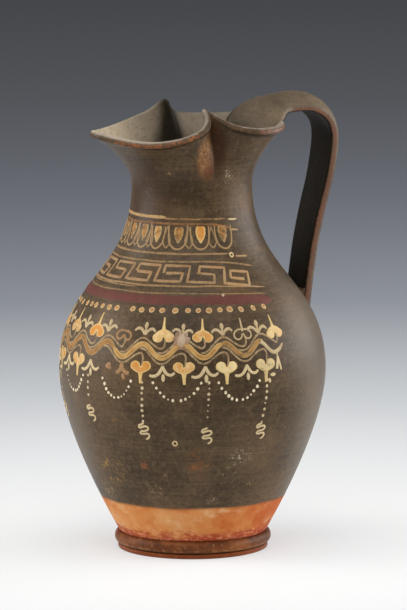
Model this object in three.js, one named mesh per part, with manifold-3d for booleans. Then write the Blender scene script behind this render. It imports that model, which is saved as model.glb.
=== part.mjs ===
// Trefoil-mouthed oinochoe, a Greek wine jug of fired clay, in millimetres with +Z up.
// It is built the way a potter builds it: a thrown body, a thrown neck whose mouth is pinched into
// three lobes, a thrown ring foot and a pulled strap handle, joined leather-hard with clay slip.
// The handle rises on the +X side of the jug and the pouring lobe points to -X.
import * as THREE from "three";
import { mergeVertices } from "three/addons/utils/BufferGeometryUtils.js";
import Module from "manifold-3d";

const { smoothstep, degToRad, radToDeg, lerp, clamp } = THREE.MathUtils;
const wasm = await Module();
wasm.setup();

// Sizes of the foot
const footRadius = 40.8; // at the middle of its rounded rim
const footHeight = 9;
const footTopRadius = 38.4; // where the rim curls in under the body
const treadOuterRadius = 39.1; // the plain lower step that touches the table
const treadInnerRadius = 32;
const treadHeight = 2.7;
const footGroove = 0.7; // depth of the line turned between the step and the rim
const footBoreRadius = 29; // the recess at its top
const turnedEdge = 0.5; // of the chamfers left by the turning tool

// Sizes of the thrown body and neck
const slipBed = 0.6; // thickness of the slip in a luted joint
const baseRadius = 38.7;
const baseReach = 14.7; // how far the wall keeps its first slope
const baseSlope = degToRad(29.2);
const bellyRadius = 69.4;
const bellyHeight = 93.9; // of the widest place, from the table
const bellyReachDown = 27.5;
const shoulderReach = 46.9;
const neckRadius = 31.2;
const neckHeight = 190.5; // of the narrowest place, from the table
const neckReach = 47.4;
const seamHeight = 171; // where the neck is luted on
const wall = 4.4;
const floorThickness = 7;
const floorFillet = 9;

// Sizes of the mouth
const mouthReach = 57; // of the pouring tip from the axis
const mouthHalfWidth = 39;
const mouthRise = 42; // of the pinched peaks over the narrowest place of the neck
const lipThickness = 3.1;
const lipRoll = 0.9; // how far the lip is rolled outwards, but not where it is pinched
const flarePower = 1.85; // how late the wall turns outwards
const farSideLift = 3.2; // the potter pinched the two sides a little differently
const farFoldLean = degToRad(16); // towards the pouring tip, from the foot of the fold to its peak

// The lip as it lies on one side, from the handle to the pouring tip: how far it is from the axis
// along X and Y and over the neck, as shares of the three sizes above, and the neck angle in degrees
// that it grows from.
const lip = [
  { along: 0.785, aside: 0, rise: 0.78, angle: 0 },
  { along: 0.745, aside: 0.51, rise: 0.775, angle: 24 },
  { along: 0.59, aside: 0.85, rise: 0.745, angle: 44 },
  { along: 0.36, aside: 1, rise: 0.745, angle: 61 },
  { along: 0.15, aside: 0.93, rise: 0.79, angle: 75 },
  { along: 0.02, aside: 0.775, rise: 0.88, angle: 86 },
  { along: -0.07, aside: 0.585, rise: 0.985, angle: 94 },
  { along: -0.087, aside: 0.674, rise: 0.955, angle: 98 },
  { along: -0.1, aside: 0.755, rise: 0.885, angle: 103 },
  { along: -0.165, aside: 0.835, rise: 0.785, angle: 110 },
  { along: -0.28, aside: 0.865, rise: 0.71, angle: 117.5 },
  { along: -0.42, aside: 0.836, rise: 0.655, angle: 127 },
  { along: -0.59, aside: 0.744, rise: 0.618, angle: 139 },
  { along: -0.745, aside: 0.585, rise: 0.62, angle: 152 },
  { along: -0.885, aside: 0.344, rise: 0.655, angle: 165 },
  { along: -1, aside: 0, rise: 0.71, angle: 180 },
];
const lipSamples = 3; // columns of the wall for each of those points

// Sizes of the handle
const strapHalfWidth = 11.6;
const strapEdge = 4.4; // thickness at the two long edges of the grip
const strapArchEdge = 3.6; // thickness at the same edges over the arch
const strapCrown = 6.8; // thickness along its middle
const strapReach = 76.4; // from the jug's axis to the inner face of the grip
const strapRise = 5.2; // of its inner face over the lip, at the top of the arch
const strapTopReach = 58; // from the axis to the top of the arch
const strapArchDrop = 13.5; // height in which the arch turns down into the grip
const strapRootInset = 4.6; // how far inside the lip it starts
const strapRootDepth = 11; // how far below the lip it starts
const strapRootHalfWidth = 22.8;
const strapRootSag = 0.0025; // how much the wide root bends round with the lip, per millimetre
const strapRootSwell = 3.2; // extra thickness of the root towards the far side, where it was pressed
const strapDroop = 2.7; // how far the two edges hang below the middle, over the arch
const strapFootHalfWidth = 10.4;
const strapFootHeight = 128; // where its inner face meets the shoulder
const jointGap = 0.35; // clearance between a clay piece and what it is luted to
const lowerFilletSize = 6.5; // of the clay smoothed in under the grip
const upperFilletSize = 4.4;

// How finely round things are cut
const turns = 48;
const handleSteps = 36;

const lipReach = lip[0].along * mouthReach; // of the lip's middle under the handle
const lipTop = neckHeight + lip[0].rise * mouthRise;
const bodyBase = footHeight + slipBed;
const floorTop = bodyBase + floorThickness;
const neckBase = seamHeight + slipBed;
// The jug's axis stands off the origin so that the origin is the middle of the space it takes.
const handleOuterReach = strapReach + strapCrown;
const axisOffset = (bellyRadius - handleOuterReach) / 2;

// The outside of the thrown wall, from the foot to the narrowest place of the neck
const lowerWall = new THREE.CubicBezierCurve(
  new THREE.Vector2(baseRadius, bodyBase),
  new THREE.Vector2(
    baseRadius + baseReach * Math.sin(baseSlope),
    bodyBase + baseReach * Math.cos(baseSlope),
  ),
  new THREE.Vector2(bellyRadius, bellyHeight - bellyReachDown),
  new THREE.Vector2(bellyRadius, bellyHeight),
);
const upperWall = new THREE.CubicBezierCurve(
  new THREE.Vector2(bellyRadius, bellyHeight),
  new THREE.Vector2(bellyRadius, bellyHeight + shoulderReach),
  new THREE.Vector2(neckRadius, neckHeight - neckReach),
  new THREE.Vector2(neckRadius, neckHeight),
);

// Outer radius and slope (radius gained per height) of the thrown wall at a height.
function wallAt(height) {
  const curve = height < bellyHeight ? lowerWall : upperWall;
  let low = 0;
  let high = 1;
  for (let step = 0; step < 40; step += 1) {
    const middle = (low + high) / 2;
    if (curve.getPoint(middle).y < height) {
      low = middle;
    } else {
      high = middle;
    }
  }
  const tangent = curve.getTangent(low);
  return { radius: curve.getPoint(low).x, slope: tangent.x / tangent.y };
}

function outerRadius(height) {
  return wallAt(height).radius;
}

// The inside follows the outside at the wall's thickness, measured square to it.
function innerRadius(height) {
  const { radius, slope } = wallAt(height);
  return radius - wall * Math.sqrt(1 + slope * slope);
}

function heightsBetween(from, to, count) {
  return Array.from({ length: count + 1 }, (_, i) => from + ((to - from) * i) / count);
}

// A solid turned on the jug's axis from [radius, height] points in order round its section.
function turned(points) {
  const profile = points.map(([radius, height]) => new THREE.Vector2(radius, height));
  return new THREE.LatheGeometry(profile, turns).rotateX(Math.PI / 2);
}

function toSolid(geometry) {
  const bare = geometry.clone();
  bare.deleteAttribute("normal");
  bare.deleteAttribute("uv");
  const merged = mergeVertices(bare, 1e-3);
  const mesh = new wasm.Mesh({
    numProp: 3,
    vertProperties: merged.attributes.position.array,
    triVerts: new Uint32Array(merged.index.array),
  });
  return new wasm.Manifold(mesh);
}

function toGeometry(solid) {
  const mesh = solid.getMesh();
  const geometry = new THREE.BufferGeometry();
  geometry.setAttribute("position", new THREE.BufferAttribute(mesh.vertProperties, 3));
  geometry.setIndex(new THREE.BufferAttribute(mesh.triVerts, 1));
  geometry.computeVertexNormals();
  return geometry;
}

// The largest body of a solid, so that slivers cut free by its neighbours are dropped.
function mainBody(solid) {
  return solid.decompose().reduce((a, b) => (b.volume() > a.volume() ? b : a));
}

// Foot: a plain tread, a turned groove and a rounded rim, open underneath.
function footRing() {
  const rimHalf = (footHeight - treadHeight) / 2;
  const rimMiddle = treadHeight + rimHalf;
  const rimBulge = footRadius - footTopRadius;
  const rim = [-70, -45, -20, 5, 30, 55, 78].map((degrees) => {
    const angle = degToRad(degrees);
    return [footTopRadius + rimBulge * Math.cos(angle), rimMiddle + rimHalf * Math.sin(angle)];
  });
  return turned([
    [treadInnerRadius, 0],
    [treadOuterRadius - turnedEdge, 0],
    [treadOuterRadius, turnedEdge],
    [treadOuterRadius, treadHeight - turnedEdge],
    [treadOuterRadius - footGroove, treadHeight],
    ...rim,
    [footTopRadius, footHeight],
    [footBoreRadius, footHeight],
    [footBoreRadius, footHeight - 2 * turnedEdge],
    [treadInnerRadius, 0],
  ]);
}

// A thin washer of slip between two flat faces.
function slipWasher(inner, outer, bottom) {
  return turned([
    [inner, bottom],
    [outer, bottom],
    [outer, bottom + slipBed],
    [inner, bottom + slipBed],
    [inner, bottom],
  ]);
}

// Body: an ovoid shell thrown in one piece, with its floor.
function body() {
  const outside = [
    ...heightsBetween(bodyBase, bellyHeight, 10),
    ...heightsBetween(bellyHeight, seamHeight, 11).slice(1),
  ].map((z) => [outerRadius(z), z]);
  const inside = heightsBetween(floorTop + floorFillet, seamHeight, 13)
    .reverse()
    .map((z) => [innerRadius(z), z]);
  const turnIn = innerRadius(floorTop + floorFillet);
  return turned([
    [0, bodyBase],
    ...outside,
    ...inside,
    [turnIn - floorFillet * 0.55, floorTop + floorFillet * 0.25],
    [turnIn - floorFillet * 1.4, floorTop],
    [0, floorTop],
  ]);
}

// The pinched lip as a closed loop of { x, y, z, angle }, smooth through its points.
function lipLoop() {
  const last = lip.length - 1;
  const sized = lip.map((p) => ({
    along: p.along * mouthReach,
    aside: p.aside * mouthHalfWidth,
    rise: p.rise * mouthRise,
    angle: p.angle,
  }));
  const nearSide = sized.map((p) => ({ ...p, aside: -p.aside, angle: -p.angle }));
  const farSide = sized.slice(1, last).reverse();
  const peak = last - 7;
  const lifted = farSide.map((p, i) => {
    const lift = farSideLift * Math.max(0.2, Math.sin((Math.PI * (i + 1)) / (peak + 1)));
    const lean = farFoldLean * Math.max(0, 1 - Math.abs(i - peak) / 4);
    return { ...p, rise: p.rise + lift, angle: p.angle - radToDeg(lean) };
  });
  const loop = [...nearSide, ...lifted.map((p) => ({ ...p, angle: p.angle - 360 }))];
  const at = (i) => {
    const round = Math.floor(i / loop.length);
    const p = loop[i - round * loop.length];
    return { ...p, angle: p.angle - 360 * round };
  };
  const between = (a, b, c, d, t) =>
    0.5 *
    (2 * b + (c - a) * t + (2 * a - 5 * b + 4 * c - d) * t * t + (3 * b - a - 3 * c + d) * t * t * t);
  const smooth = (i, t, key) =>
    between(at(i - 1)[key], at(i)[key], at(i + 1)[key], at(i + 2)[key], t);
  const columns = [];
  for (let i = 0; i < loop.length; i += 1) {
    for (let s = 0; s < lipSamples; s += 1) {
      const t = s / lipSamples;
      columns.push({
        x: smooth(i, t, "along"),
        y: smooth(i, t, "aside"),
        z: neckHeight + smooth(i, t, "rise"),
        angle: degToRad(smooth(i, t, "angle")),
      });
    }
  }
  return columns;
}

// Neck and mouth: the thrown neck opens into the pinched lip. With extra, every face stands that
// far proud of the real one, for cutting clearance.
function neckAndMouth(extra) {
  const columns = lipLoop();
  const flareRows = 8;
  const neckRows = heightsBetween(neckBase, neckHeight, 3);
  const middle = neckRadius - wall / 2;
  const flarePoint = (column, t) => {
    const swing = t ** flarePower;
    const x = middle * Math.cos(column.angle);
    const y = middle * Math.sin(column.angle);
    return new THREE.Vector3(
      x + (column.x - x) * swing,
      y + (column.y - y) * swing,
      neckHeight + (column.z - neckHeight) * t,
    );
  };
  const outer = [];
  const inner = [];
  const step = 1e-3;
  columns.forEach((column, i) => {
    const before = columns[(i + columns.length - 1) % columns.length];
    const after = columns[(i + 1) % columns.length];
    const outerColumn = [];
    const innerColumn = [];
    neckRows.slice(0, -1).forEach((z, row) => {
      const height = row === 0 ? z - extra : z;
      const place = (radius) =>
        new THREE.Vector3(radius * Math.cos(column.angle), radius * Math.sin(column.angle), height);
      outerColumn.push(place(outerRadius(z) + extra));
      innerColumn.push(place(innerRadius(z) - extra));
    });
    for (let row = 0; row <= flareRows; row += 1) {
      const t = row / flareRows;
      const here = flarePoint(column, t);
      const round = flarePoint(after, t).sub(flarePoint(before, t));
      const up = flarePoint(column, Math.min(1, t + step)).sub(
        flarePoint(column, Math.max(0, t - step)),
      );
      const out = up.clone().cross(round).normalize();
      const half = lerp(wall, lipThickness, t) / 2 + extra;
      let roll = 0;
      if (row === flareRows) {
        const pinched = (column.z - neckHeight) / mouthRise;
        roll = lipRoll * clamp((0.92 - pinched) / 0.12, 0, 1);
        here.addScaledVector(up.normalize(), extra);
      }
      outerColumn.push(here.clone().addScaledVector(out, half + roll));
      innerColumn.push(here.clone().addScaledVector(out, -half));
    }
    outer.push(outerColumn);
    inner.push(innerColumn);
  });
  return wallBetween(outer, inner);
}

// A closed wall from an outer and an inner grid of columns, joined at top and bottom.
function wallBetween(outer, inner) {
  const rows = outer[0].length;
  const rings = outer.map((column, i) => [...column, ...inner[i].slice().reverse()]);
  const around = rings.length;
  const across = rows * 2;
  const positions = rings.flat().flatMap((p) => [p.x, p.y, p.z]);
  const index = [];
  for (let i = 0; i < around; i += 1) {
    const next = (i + 1) % around;
    for (let j = 0; j < across; j += 1) {
      const k = (j + 1) % across;
      const a = i * across + j;
      const b = next * across + j;
      const c = next * across + k;
      const d = i * across + k;
      index.push(a, c, b, a, d, c);
    }
  }
  const geometry = new THREE.BufferGeometry();
  geometry.setAttribute("position", new THREE.Float32BufferAttribute(positions, 3));
  geometry.setIndex(index);
  return geometry;
}

// The inner face of the strap as it runs in the plane of the handle: up the inside of the lip, over
// it in a high arch, and down in a long swing to the shoulder.
function strapPath() {
  const arch = lipTop + strapRise;
  const shoulder = outerRadius(strapFootHeight);
  const archRun = strapReach - strapTopReach;
  const gripTop = arch - strapArchDrop;
  const root = (inset, depth) => [lipReach - strapRootInset * inset, lipTop - strapRootDepth * depth];
  const turn = (out, down) => [strapTopReach + archRun * out, arch - strapArchDrop * down];
  const grip = (out, down) => [
    shoulder + (strapReach - shoulder) * out,
    gripTop - (gripTop - strapFootHeight) * down,
  ];
  const points = [
    root(1, 1),
    root(0.78, 0.55),
    root(0.45, 0.16),
    root(-0.22, -0.16),
    [(lipReach + strapTopReach) / 2, arch - strapRise / 4],
    turn(0, 0),
    turn(0.41, 0.045),
    turn(0.72, 0.27),
    turn(0.92, 0.59),
    grip(1, 0),
    grip(0.925, 0.14),
    grip(0.77, 0.29),
    grip(0.52, 0.46),
    grip(0.27, 0.66),
    grip(0.12, 0.83),
    grip(0, 1),
    grip(-0.08, 1.14),
  ];
  const places = points.map(([x, z]) => new THREE.Vector3(x, 0, z));
  return new THREE.CatmullRomCurve3(places, false, "centripetal");
}

// Strap handle: flat inside, crowned outside, wide where it embraces the lip.
function strap(extra) {
  const curve = strapPath();
  const rings = [];
  for (let i = 0; i <= handleSteps; i += 1) {
    const s = i / handleSteps;
    const place = curve.getPointAt(s);
    const along = curve.getTangentAt(s);
    const out = new THREE.Vector3(-along.z, 0, along.x);
    const root = 1 - smoothstep(s, 0.06, 0.16);
    const taper = smoothstep(s, 0.3, 0.85);
    const half =
      strapHalfWidth +
      (strapRootHalfWidth - strapHalfWidth) * root +
      (strapFootHalfWidth - strapHalfWidth) * taper;
    const smear = smoothstep(s, -0.03, 0.05);
    const edge = lerp(strapArchEdge, strapEdge, smoothstep(s, 0.2, 0.4)) * (0.35 + 0.65 * smear);
    const crown = strapCrown * (0.4 + 0.6 * smear);
    const sag = strapRootSag * root * (1 - smoothstep(s, 0.05, 0.11));
    const droop = strapDroop * smoothstep(s, 0.08, 0.19) * (1 - smoothstep(s, 0.22, 0.42));
    const swell = strapRootSwell * smoothstep(s, -0.03, 0.07) * (1 - smoothstep(s, 0.09, 0.3));
    const ring = [];
    const add = (aside, up, swollen) => {
      const bent = sag * aside * aside - droop * (aside / half) ** 2;
      const swelling = swollen * swell * Math.max(0, (1 + aside / half) / 2) ** 1.5;
      ring.push(
        place
          .clone()
          .addScaledVector(out, up + bent + swelling)
          .add(new THREE.Vector3(0, aside, 0)),
      );
    };
    const corner = Math.min(0.9, edge * 0.3);
    const wide = half + extra;
    const crownAt = (share) => edge + (crown - edge) * (1 - share * share) + extra;
    [-1, -0.5, 0, 0.5, 1].forEach((share) => add((wide - corner) * share, -extra, 0));
    add(wide, corner - extra, 0);
    add(wide, edge - corner + extra, 1);
    [0.94, 0.72, 0.48, 0.24, 0, -0.24, -0.48, -0.72, -0.94].forEach((share) =>
      add(wide * share, crownAt(share), 1),
    );
    add(-wide, edge - corner + extra, 1);
    add(-wide, corner - extra, 0);
    rings.push(ring);
  }
  return skinned(rings);
}

// A closed solid through rings of equal count, with flat ends.
function skinned(rings) {
  const around = rings[0].length;
  const positions = rings.flat().flatMap((p) => [p.x, p.y, p.z]);
  const index = [];
  for (let i = 0; i < rings.length - 1; i += 1) {
    for (let j = 0; j < around; j += 1) {
      const k = (j + 1) % around;
      const a = i * around + j;
      const b = i * around + k;
      const c = (i + 1) * around + k;
      const d = (i + 1) * around + j;
      index.push(a, b, c, a, c, d);
    }
  }
  const cap = (ring, flip) => {
    const centre = ring.reduce((sum, p) => sum.add(p), new THREE.Vector3());
    centre.divideScalar(around);
    const hub = positions.length / 3;
    positions.push(centre.x, centre.y, centre.z);
    const first = flip ? (rings.length - 1) * around : 0;
    for (let j = 0; j < around; j += 1) {
      const k = (j + 1) % around;
      index.push(hub, first + (flip ? j : k), first + (flip ? k : j));
    }
  };
  cap(rings[0], false);
  cap(rings[rings.length - 1], true);
  const geometry = new THREE.BufferGeometry();
  geometry.setAttribute("position", new THREE.Float32BufferAttribute(positions, 3));
  geometry.setIndex(index);
  return geometry;
}

// The thrown wall without its hollow, grown by the joint gap, to cut what is luted to it.
function wallCutter() {
  const heights = heightsBetween(bodyBase, neckHeight, 40);
  return toSolid(
    turned([
      [0, bodyBase],
      ...heights.map((z) => [outerRadius(z) + jointGap, z]),
      [0, neckHeight],
    ]),
  );
}

// Handle, cut to sit on the shoulder and on the lip.
function strapHandle(cutters) {
  const rough = toSolid(strap(0));
  return toGeometry(mainBody(rough.subtract(cutters.wall).subtract(cutters.mouth)));
}

// A wedge of clay with a hollow face, in the plane of the handle, as wide as given.
function filletBar(corner, firstEnd, secondEnd, width) {
  const shape = new THREE.Shape();
  shape.moveTo(corner[0], corner[1]);
  shape.lineTo(firstEnd[0], firstEnd[1]);
  const pull = 0.35;
  const middle = [
    (firstEnd[0] + secondEnd[0]) / 2 + (corner[0] - (firstEnd[0] + secondEnd[0]) / 2) * pull,
    (firstEnd[1] + secondEnd[1]) / 2 + (corner[1] - (firstEnd[1] + secondEnd[1]) / 2) * pull,
  ];
  shape.quadraticCurveTo(middle[0], middle[1], secondEnd[0], secondEnd[1]);
  shape.closePath();
  return new THREE.ExtrudeGeometry(shape, { depth: width, bevelEnabled: false, curveSegments: 6 })
    .rotateX(Math.PI / 2)
    .translate(0, width / 2, 0);
}

// Clay smoothed into the angle between the shoulder and the grip.
function lowerLuting(cutters) {
  const reach = outerRadius(strapFootHeight);
  const size = lowerFilletSize;
  const { slope } = wallAt(strapFootHeight + size);
  const bar = filletBar(
    [reach + size * 0.3, strapFootHeight - size * 0.6],
    [reach + size * 0.34, strapFootHeight + size],
    [reach + size * (slope - 0.25), strapFootHeight + size * 0.82],
    2 * strapFootHalfWidth,
  );
  return toGeometry(mainBody(toSolid(bar).subtract(cutters.wall).subtract(cutters.strap)));
}

// Clay pressed in under the strap where it leaves the lip.
function upperLuting(cutters) {
  const size = upperFilletSize;
  const bar = filletBar(
    [lipReach - size * 0.1, lipTop + size * 0.7],
    [lipReach + size * 1.45, lipTop + size],
    [lipReach, lipTop - size * 0.7],
    2 * strapHalfWidth,
  );
  return toGeometry(mainBody(toSolid(bar).subtract(cutters.mouth).subtract(cutters.strap)));
}

const glazed = { color: 0x3a342d, roughness: 0.42, metalness: 0 };
const bareClay = { color: 0xb9693a, roughness: 0.85, metalness: 0 };

function piece(name, geometry, look) {
  const mesh = new THREE.Mesh(geometry, new THREE.MeshStandardMaterial(look));
  mesh.name = name;
  return mesh;
}

const cutters = {
  wall: wallCutter(),
  mouth: toSolid(neckAndMouth(jointGap)),
  strap: toSolid(strap(jointGap)),
};

const jug = new THREE.Group();
jug.add(
  piece("foot_ring", footRing(), { color: 0x5f3c2c, roughness: 0.5, metalness: 0 }),
  piece("foot_slip", slipWasher(footBoreRadius + 2, footTopRadius - 0.6, footHeight), bareClay),
  piece("body", body(), glazed),
  piece(
    "neck_slip",
    slipWasher(innerRadius(neckBase) + 0.5, outerRadius(neckBase) - 0.5, seamHeight),
    bareClay,
  ),
  piece("neck_and_mouth", neckAndMouth(0), glazed),
  piece("strap_handle", strapHandle(cutters), glazed),
  piece("lower_handle_luting", lowerLuting(cutters), glazed),
  piece("upper_handle_luting", upperLuting(cutters), glazed),
);
jug.position.x = axisOffset;

const oinochoe = new THREE.Group();
oinochoe.add(jug);

export default oinochoe;
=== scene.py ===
import bisect
import math
import random

import bmesh
import bpy
from mathutils import Matrix, Vector, noise
from mathutils.geometry import interpolate_bezier


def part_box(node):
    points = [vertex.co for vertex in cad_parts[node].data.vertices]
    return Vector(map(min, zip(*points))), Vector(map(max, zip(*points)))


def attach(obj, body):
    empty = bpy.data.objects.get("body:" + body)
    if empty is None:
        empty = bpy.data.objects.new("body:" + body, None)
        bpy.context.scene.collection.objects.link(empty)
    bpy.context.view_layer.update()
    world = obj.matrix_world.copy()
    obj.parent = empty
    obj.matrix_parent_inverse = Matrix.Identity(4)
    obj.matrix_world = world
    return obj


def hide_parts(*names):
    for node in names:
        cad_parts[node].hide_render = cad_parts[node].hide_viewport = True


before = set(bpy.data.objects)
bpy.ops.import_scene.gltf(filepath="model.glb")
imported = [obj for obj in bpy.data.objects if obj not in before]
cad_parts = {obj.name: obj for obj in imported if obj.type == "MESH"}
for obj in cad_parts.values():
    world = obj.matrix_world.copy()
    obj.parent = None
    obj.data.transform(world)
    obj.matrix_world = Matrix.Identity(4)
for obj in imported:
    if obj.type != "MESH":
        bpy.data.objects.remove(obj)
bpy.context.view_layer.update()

# Where the jug stands
# The jug's own axis runs up through the middle of its foot, and everything below is drawn in
# millimetres from that axis, with the handle at +X. settle() puts a finished mesh into the frame.
foot_low, foot_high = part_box("foot_ring")
AXIS_X = (foot_low[0] + foot_high[0]) / 2
MM = 0.001
JUG_TO_FRAME = Matrix.Translation((AXIS_X, 0, 0)) @ Matrix.Scale(MM, 4)
HANDLE_TURN = 27  # degrees by which the handle stands behind the picture's right
FRONT = -90 - HANDLE_TURN  # the jug's direction that faces the photographer

# Camera
# A long lens, about as far off as a museum photographer stands, a little above the jug.
CAMERA_AWAY = 2.6
CAMERA_HEIGHT = 0.515
AIM_HEIGHT = 0.122
LENS = 298.4
PICTURE_ROLL = 0.15  # degrees


def in_picture(right, away, height):
    """A place given as the photographer sees it from the jug's axis, in metres."""
    turn = Matrix.Rotation(math.radians(-HANDLE_TURN), 3, "Z")
    return turn @ Vector((right, away, height)) + Vector((AXIS_X, 0, 0))


camera = bpy.data.objects.new("camera", bpy.data.cameras.new("camera"))
bpy.context.collection.objects.link(camera)
bpy.context.scene.camera = camera
camera.data.lens = LENS
camera.data.shift_x = 0.0184
camera.data.shift_y = 0.0154
camera.data.clip_end = 50
camera.location = in_picture(0, -CAMERA_AWAY, CAMERA_HEIGHT)
aim = in_picture(0, 0, AIM_HEIGHT) - camera.location
camera.rotation_mode = "QUATERNION"
roll = Matrix.Rotation(math.radians(-PICTURE_ROLL), 3, "Z")
camera.rotation_quaternion = (aim.to_track_quat("-Z", "Y").to_matrix() @ roll).to_quaternion()


# Studio
# A pale table top that falls off into a grey-blue distance, and three large soft lamps: one at each
# side, which light the flanks and leave the front darker, and one overhead.
def linear(hex_colour):
    """An sRGB hex colour as the linear colour that shaders take."""
    parts = [int(hex_colour[i : i + 2], 16) / 255 for i in (1, 3, 5)]
    return [c / 12.92 if c <= 0.04045 else ((c + 0.055) / 1.055) ** 2.4 for c in parts] + [1]


MAIN_SETTING = {
    "Math": "operation",
    "VectorMath": "operation",
    "MapRange": "interpolation_type",
    "Mix": "data_type",
    "Attribute": "attribute_name",
}


def add_node(kind, sockets=(), tree=None, stops=(), out=0):
    """Adds one node and gives one of its outputs, or all of them. A word after the kind is its main
    setting. sockets are values or links, in order or by name, and stops are the colours of a ramp.
    The node goes into the tree of its first link, unless a tree is given."""
    kind, _, setting = kind.partition(" ")
    sockets = sockets if isinstance(sockets, dict) else dict(enumerate(sockets))
    links = [value for value in sockets.values() if isinstance(value, bpy.types.NodeSocket)]
    tree = tree or links[0].id_data
    node = tree.nodes.new("ShaderNode" + kind)
    if setting:
        setattr(node, MAIN_SETTING[kind], setting)
    for key, value in sockets.items():
        if isinstance(value, bpy.types.NodeSocket):
            tree.links.new(value, node.inputs[key])
        else:
            node.inputs[key].default_value = linear(value) if isinstance(value, str) else value
    if stops:
        ramp = node.color_ramp
        while len(ramp.elements) < len(stops):
            ramp.elements.new(0.5)
        for element, (place, colour) in zip(ramp.elements, stops):
            element.position = place
            element.color = linear(colour)
    return node.outputs if out is None else node.outputs[out]


def new_material(name):
    material = bpy.data.materials.new(name)
    material.use_nodes = True
    material.node_tree.nodes.clear()
    return material, material.node_tree


bpy.context.scene.view_settings.view_transform = "Standard"

# Photographer's paper on the table: matt, with no mirror image of the jug.
TIMES = "Math MULTIPLY"
TABLE_RADIUS = 12  # metres
TABLE_EDGE = 6.0  # metres to where the distance is darkest
table, table_tree = new_material("table_top")
table_place = add_node("TexCoord", tree=table_tree, out="Object")
table_far = add_node("VectorMath LENGTH", [table_place], out="Value")
table_colour = add_node(
    "ValToRGB",
    [add_node("MapRange", [table_far, 0.0, TABLE_EDGE])],
    stops=[
        (0.0, "#F2F6F8"),
        (0.021, "#F6F6F6"),
        (0.076, "#D1D4D8"),
        (0.145, "#A0A5AF"),
        (0.235, "#8F94A1"),
        (0.36, "#7B808B"),
        (0.538, "#696C76"),
        (1.0, "#4E5058"),
    ],
)
# Close to the jug part of the table's colour is painted light: it glows, standing in for light from
# below as on a light table, and weakens the jug's shadow. Only the eye and mirrored rays see that
# painted light, so that it sends no more light up to the jug.
PAINTED_GLOW_SHARE = 0.45  # share of the table's colour given as painted light, at the jug
GLOW_FULL_WITHIN = 0.1  # metres from the jug
GLOW_GONE_AT = 0.45
painted_glow = add_node("MapRange SMOOTHSTEP", [table_far, GLOW_FULL_WITHIN, GLOW_GONE_AT, PAINTED_GLOW_SHARE, 0.0])
ray = add_node("LightPath", tree=table_tree, out=None)
seen = add_node("Math MAXIMUM", [ray["Is Camera Ray"], ray["Is Glossy Ray"]])
seen = add_node("Math MAXIMUM", [seen, ray["Is Transmission Ray"]])
painted_glow_seen = add_node(TIMES, [painted_glow, seen])
kept_share = add_node("Math SUBTRACT", [1.0, painted_glow_seen])
table_shade = add_node("VectorMath SCALE", {0: table_colour, "Scale": kept_share})
table_lit = {
    "Base Color": table_shade,
    "Roughness": 0.7,
    "Emission Color": table_colour,
    "Emission Strength": painted_glow_seen,
}
add_node("OutputMaterial", [add_node("BsdfPrincipled", table_lit)], out=None)

table_mesh = bpy.data.meshes.new("table_top")
builder = bmesh.new()
bmesh.ops.create_circle(builder, cap_ends=True, segments=64, radius=TABLE_RADIUS)
builder.to_mesh(table_mesh)
builder.free()
table_mesh.materials.append(table)
table_top = bpy.data.objects.new("table_top", table_mesh)
bpy.context.collection.objects.link(table_top)

AIR_LIGHT = 0.29  # strength of the light that comes from all round
world = bpy.data.worlds.new("studio_air")
bpy.context.scene.world = world
world.use_nodes = True
world.node_tree.nodes["Background"].inputs["Color"].default_value = linear("#ECEBE8")
world.node_tree.nodes["Background"].inputs["Strength"].default_value = AIR_LIGHT


def softbox(name, place, size, watts):
    """A large soft lamp, turned to the jug, which the camera itself doesn't see."""
    lamp = bpy.data.lights.new(name, "AREA")
    lamp.shape = "RECTANGLE"
    lamp.size, lamp.size_y = size
    lamp.energy = watts
    lamp_object = bpy.data.objects.new(name, lamp)
    bpy.context.collection.objects.link(lamp_object)
    lamp_object.location = place
    lamp_object.visible_camera = False
    aim_at = in_picture(0, 0, AIM_HEIGHT) - place
    lamp_object.rotation_mode = "QUATERNION"
    lamp_object.rotation_quaternion = aim_at.to_track_quat("-Z", "Y")


softbox("left_softbox", in_picture(-1.15, 0, 0.5), (0.8, 0.8), 10.3)
softbox("right_softbox", in_picture(1.2, 0.22, 0.42), (1.3, 0.7), 14)
softbox("top_softbox", in_picture(0, -0.7, 1.3), (1.8, 1.5), 16)

# The thrown wall
# One line, drawn by the potter's hands, runs from the foot to the narrowest place of the neck. The
# body and the neck are both turned from it, and the painted bands lie on it.
FOOT_HEIGHT = foot_high[2] / MM
BODY_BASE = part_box("body")[0][2] / MM
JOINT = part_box("body")[1][2] / MM + 0.3  # where body and neck meet, in the middle of the slip
BELLY_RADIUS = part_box("body")[1][1] / MM
BELLY_HEIGHT = 93.9
BASE_RADIUS = 38.7
BASE_REACH = 14.7
BASE_SLOPE = math.radians(29.2)
BELLY_REACH_DOWN = 27.5
SHOULDER_REACH = 46.9
NECK_RADIUS = 31.2
NECK_HEIGHT = 190.5
NECK_REACH = 47.4
WALL = 4.4
FLOOR = 7
FLOOR_FILLET = 9
WALL_STEPS = 240
ROUND_STEPS = 288

wall_foot = Vector((BASE_RADIUS, BODY_BASE))
lower_wall = interpolate_bezier(
    wall_foot,
    wall_foot + BASE_REACH * Vector((math.sin(BASE_SLOPE), math.cos(BASE_SLOPE))),
    Vector((BELLY_RADIUS, BELLY_HEIGHT - BELLY_REACH_DOWN)),
    Vector((BELLY_RADIUS, BELLY_HEIGHT)),
    WALL_STEPS,
)
upper_wall = interpolate_bezier(
    Vector((BELLY_RADIUS, BELLY_HEIGHT)),
    Vector((BELLY_RADIUS, BELLY_HEIGHT + SHOULDER_REACH)),
    Vector((NECK_RADIUS, NECK_HEIGHT - NECK_REACH)),
    Vector((NECK_RADIUS, NECK_HEIGHT)),
    WALL_STEPS,
)
wall_line = lower_wall[:-1] + upper_wall
wall_heights = [p.y for p in wall_line]


def wall_at(height):
    """Outer radius of the thrown wall at a height, and how much it gains per millimetre of height."""
    i = min(max(bisect.bisect_left(wall_heights, height), 1), len(wall_line) - 1)
    low, high = wall_line[i - 1], wall_line[i]
    slope = (high.x - low.x) / (high.y - low.y)
    return low.x + slope * (height - low.y), slope


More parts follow.
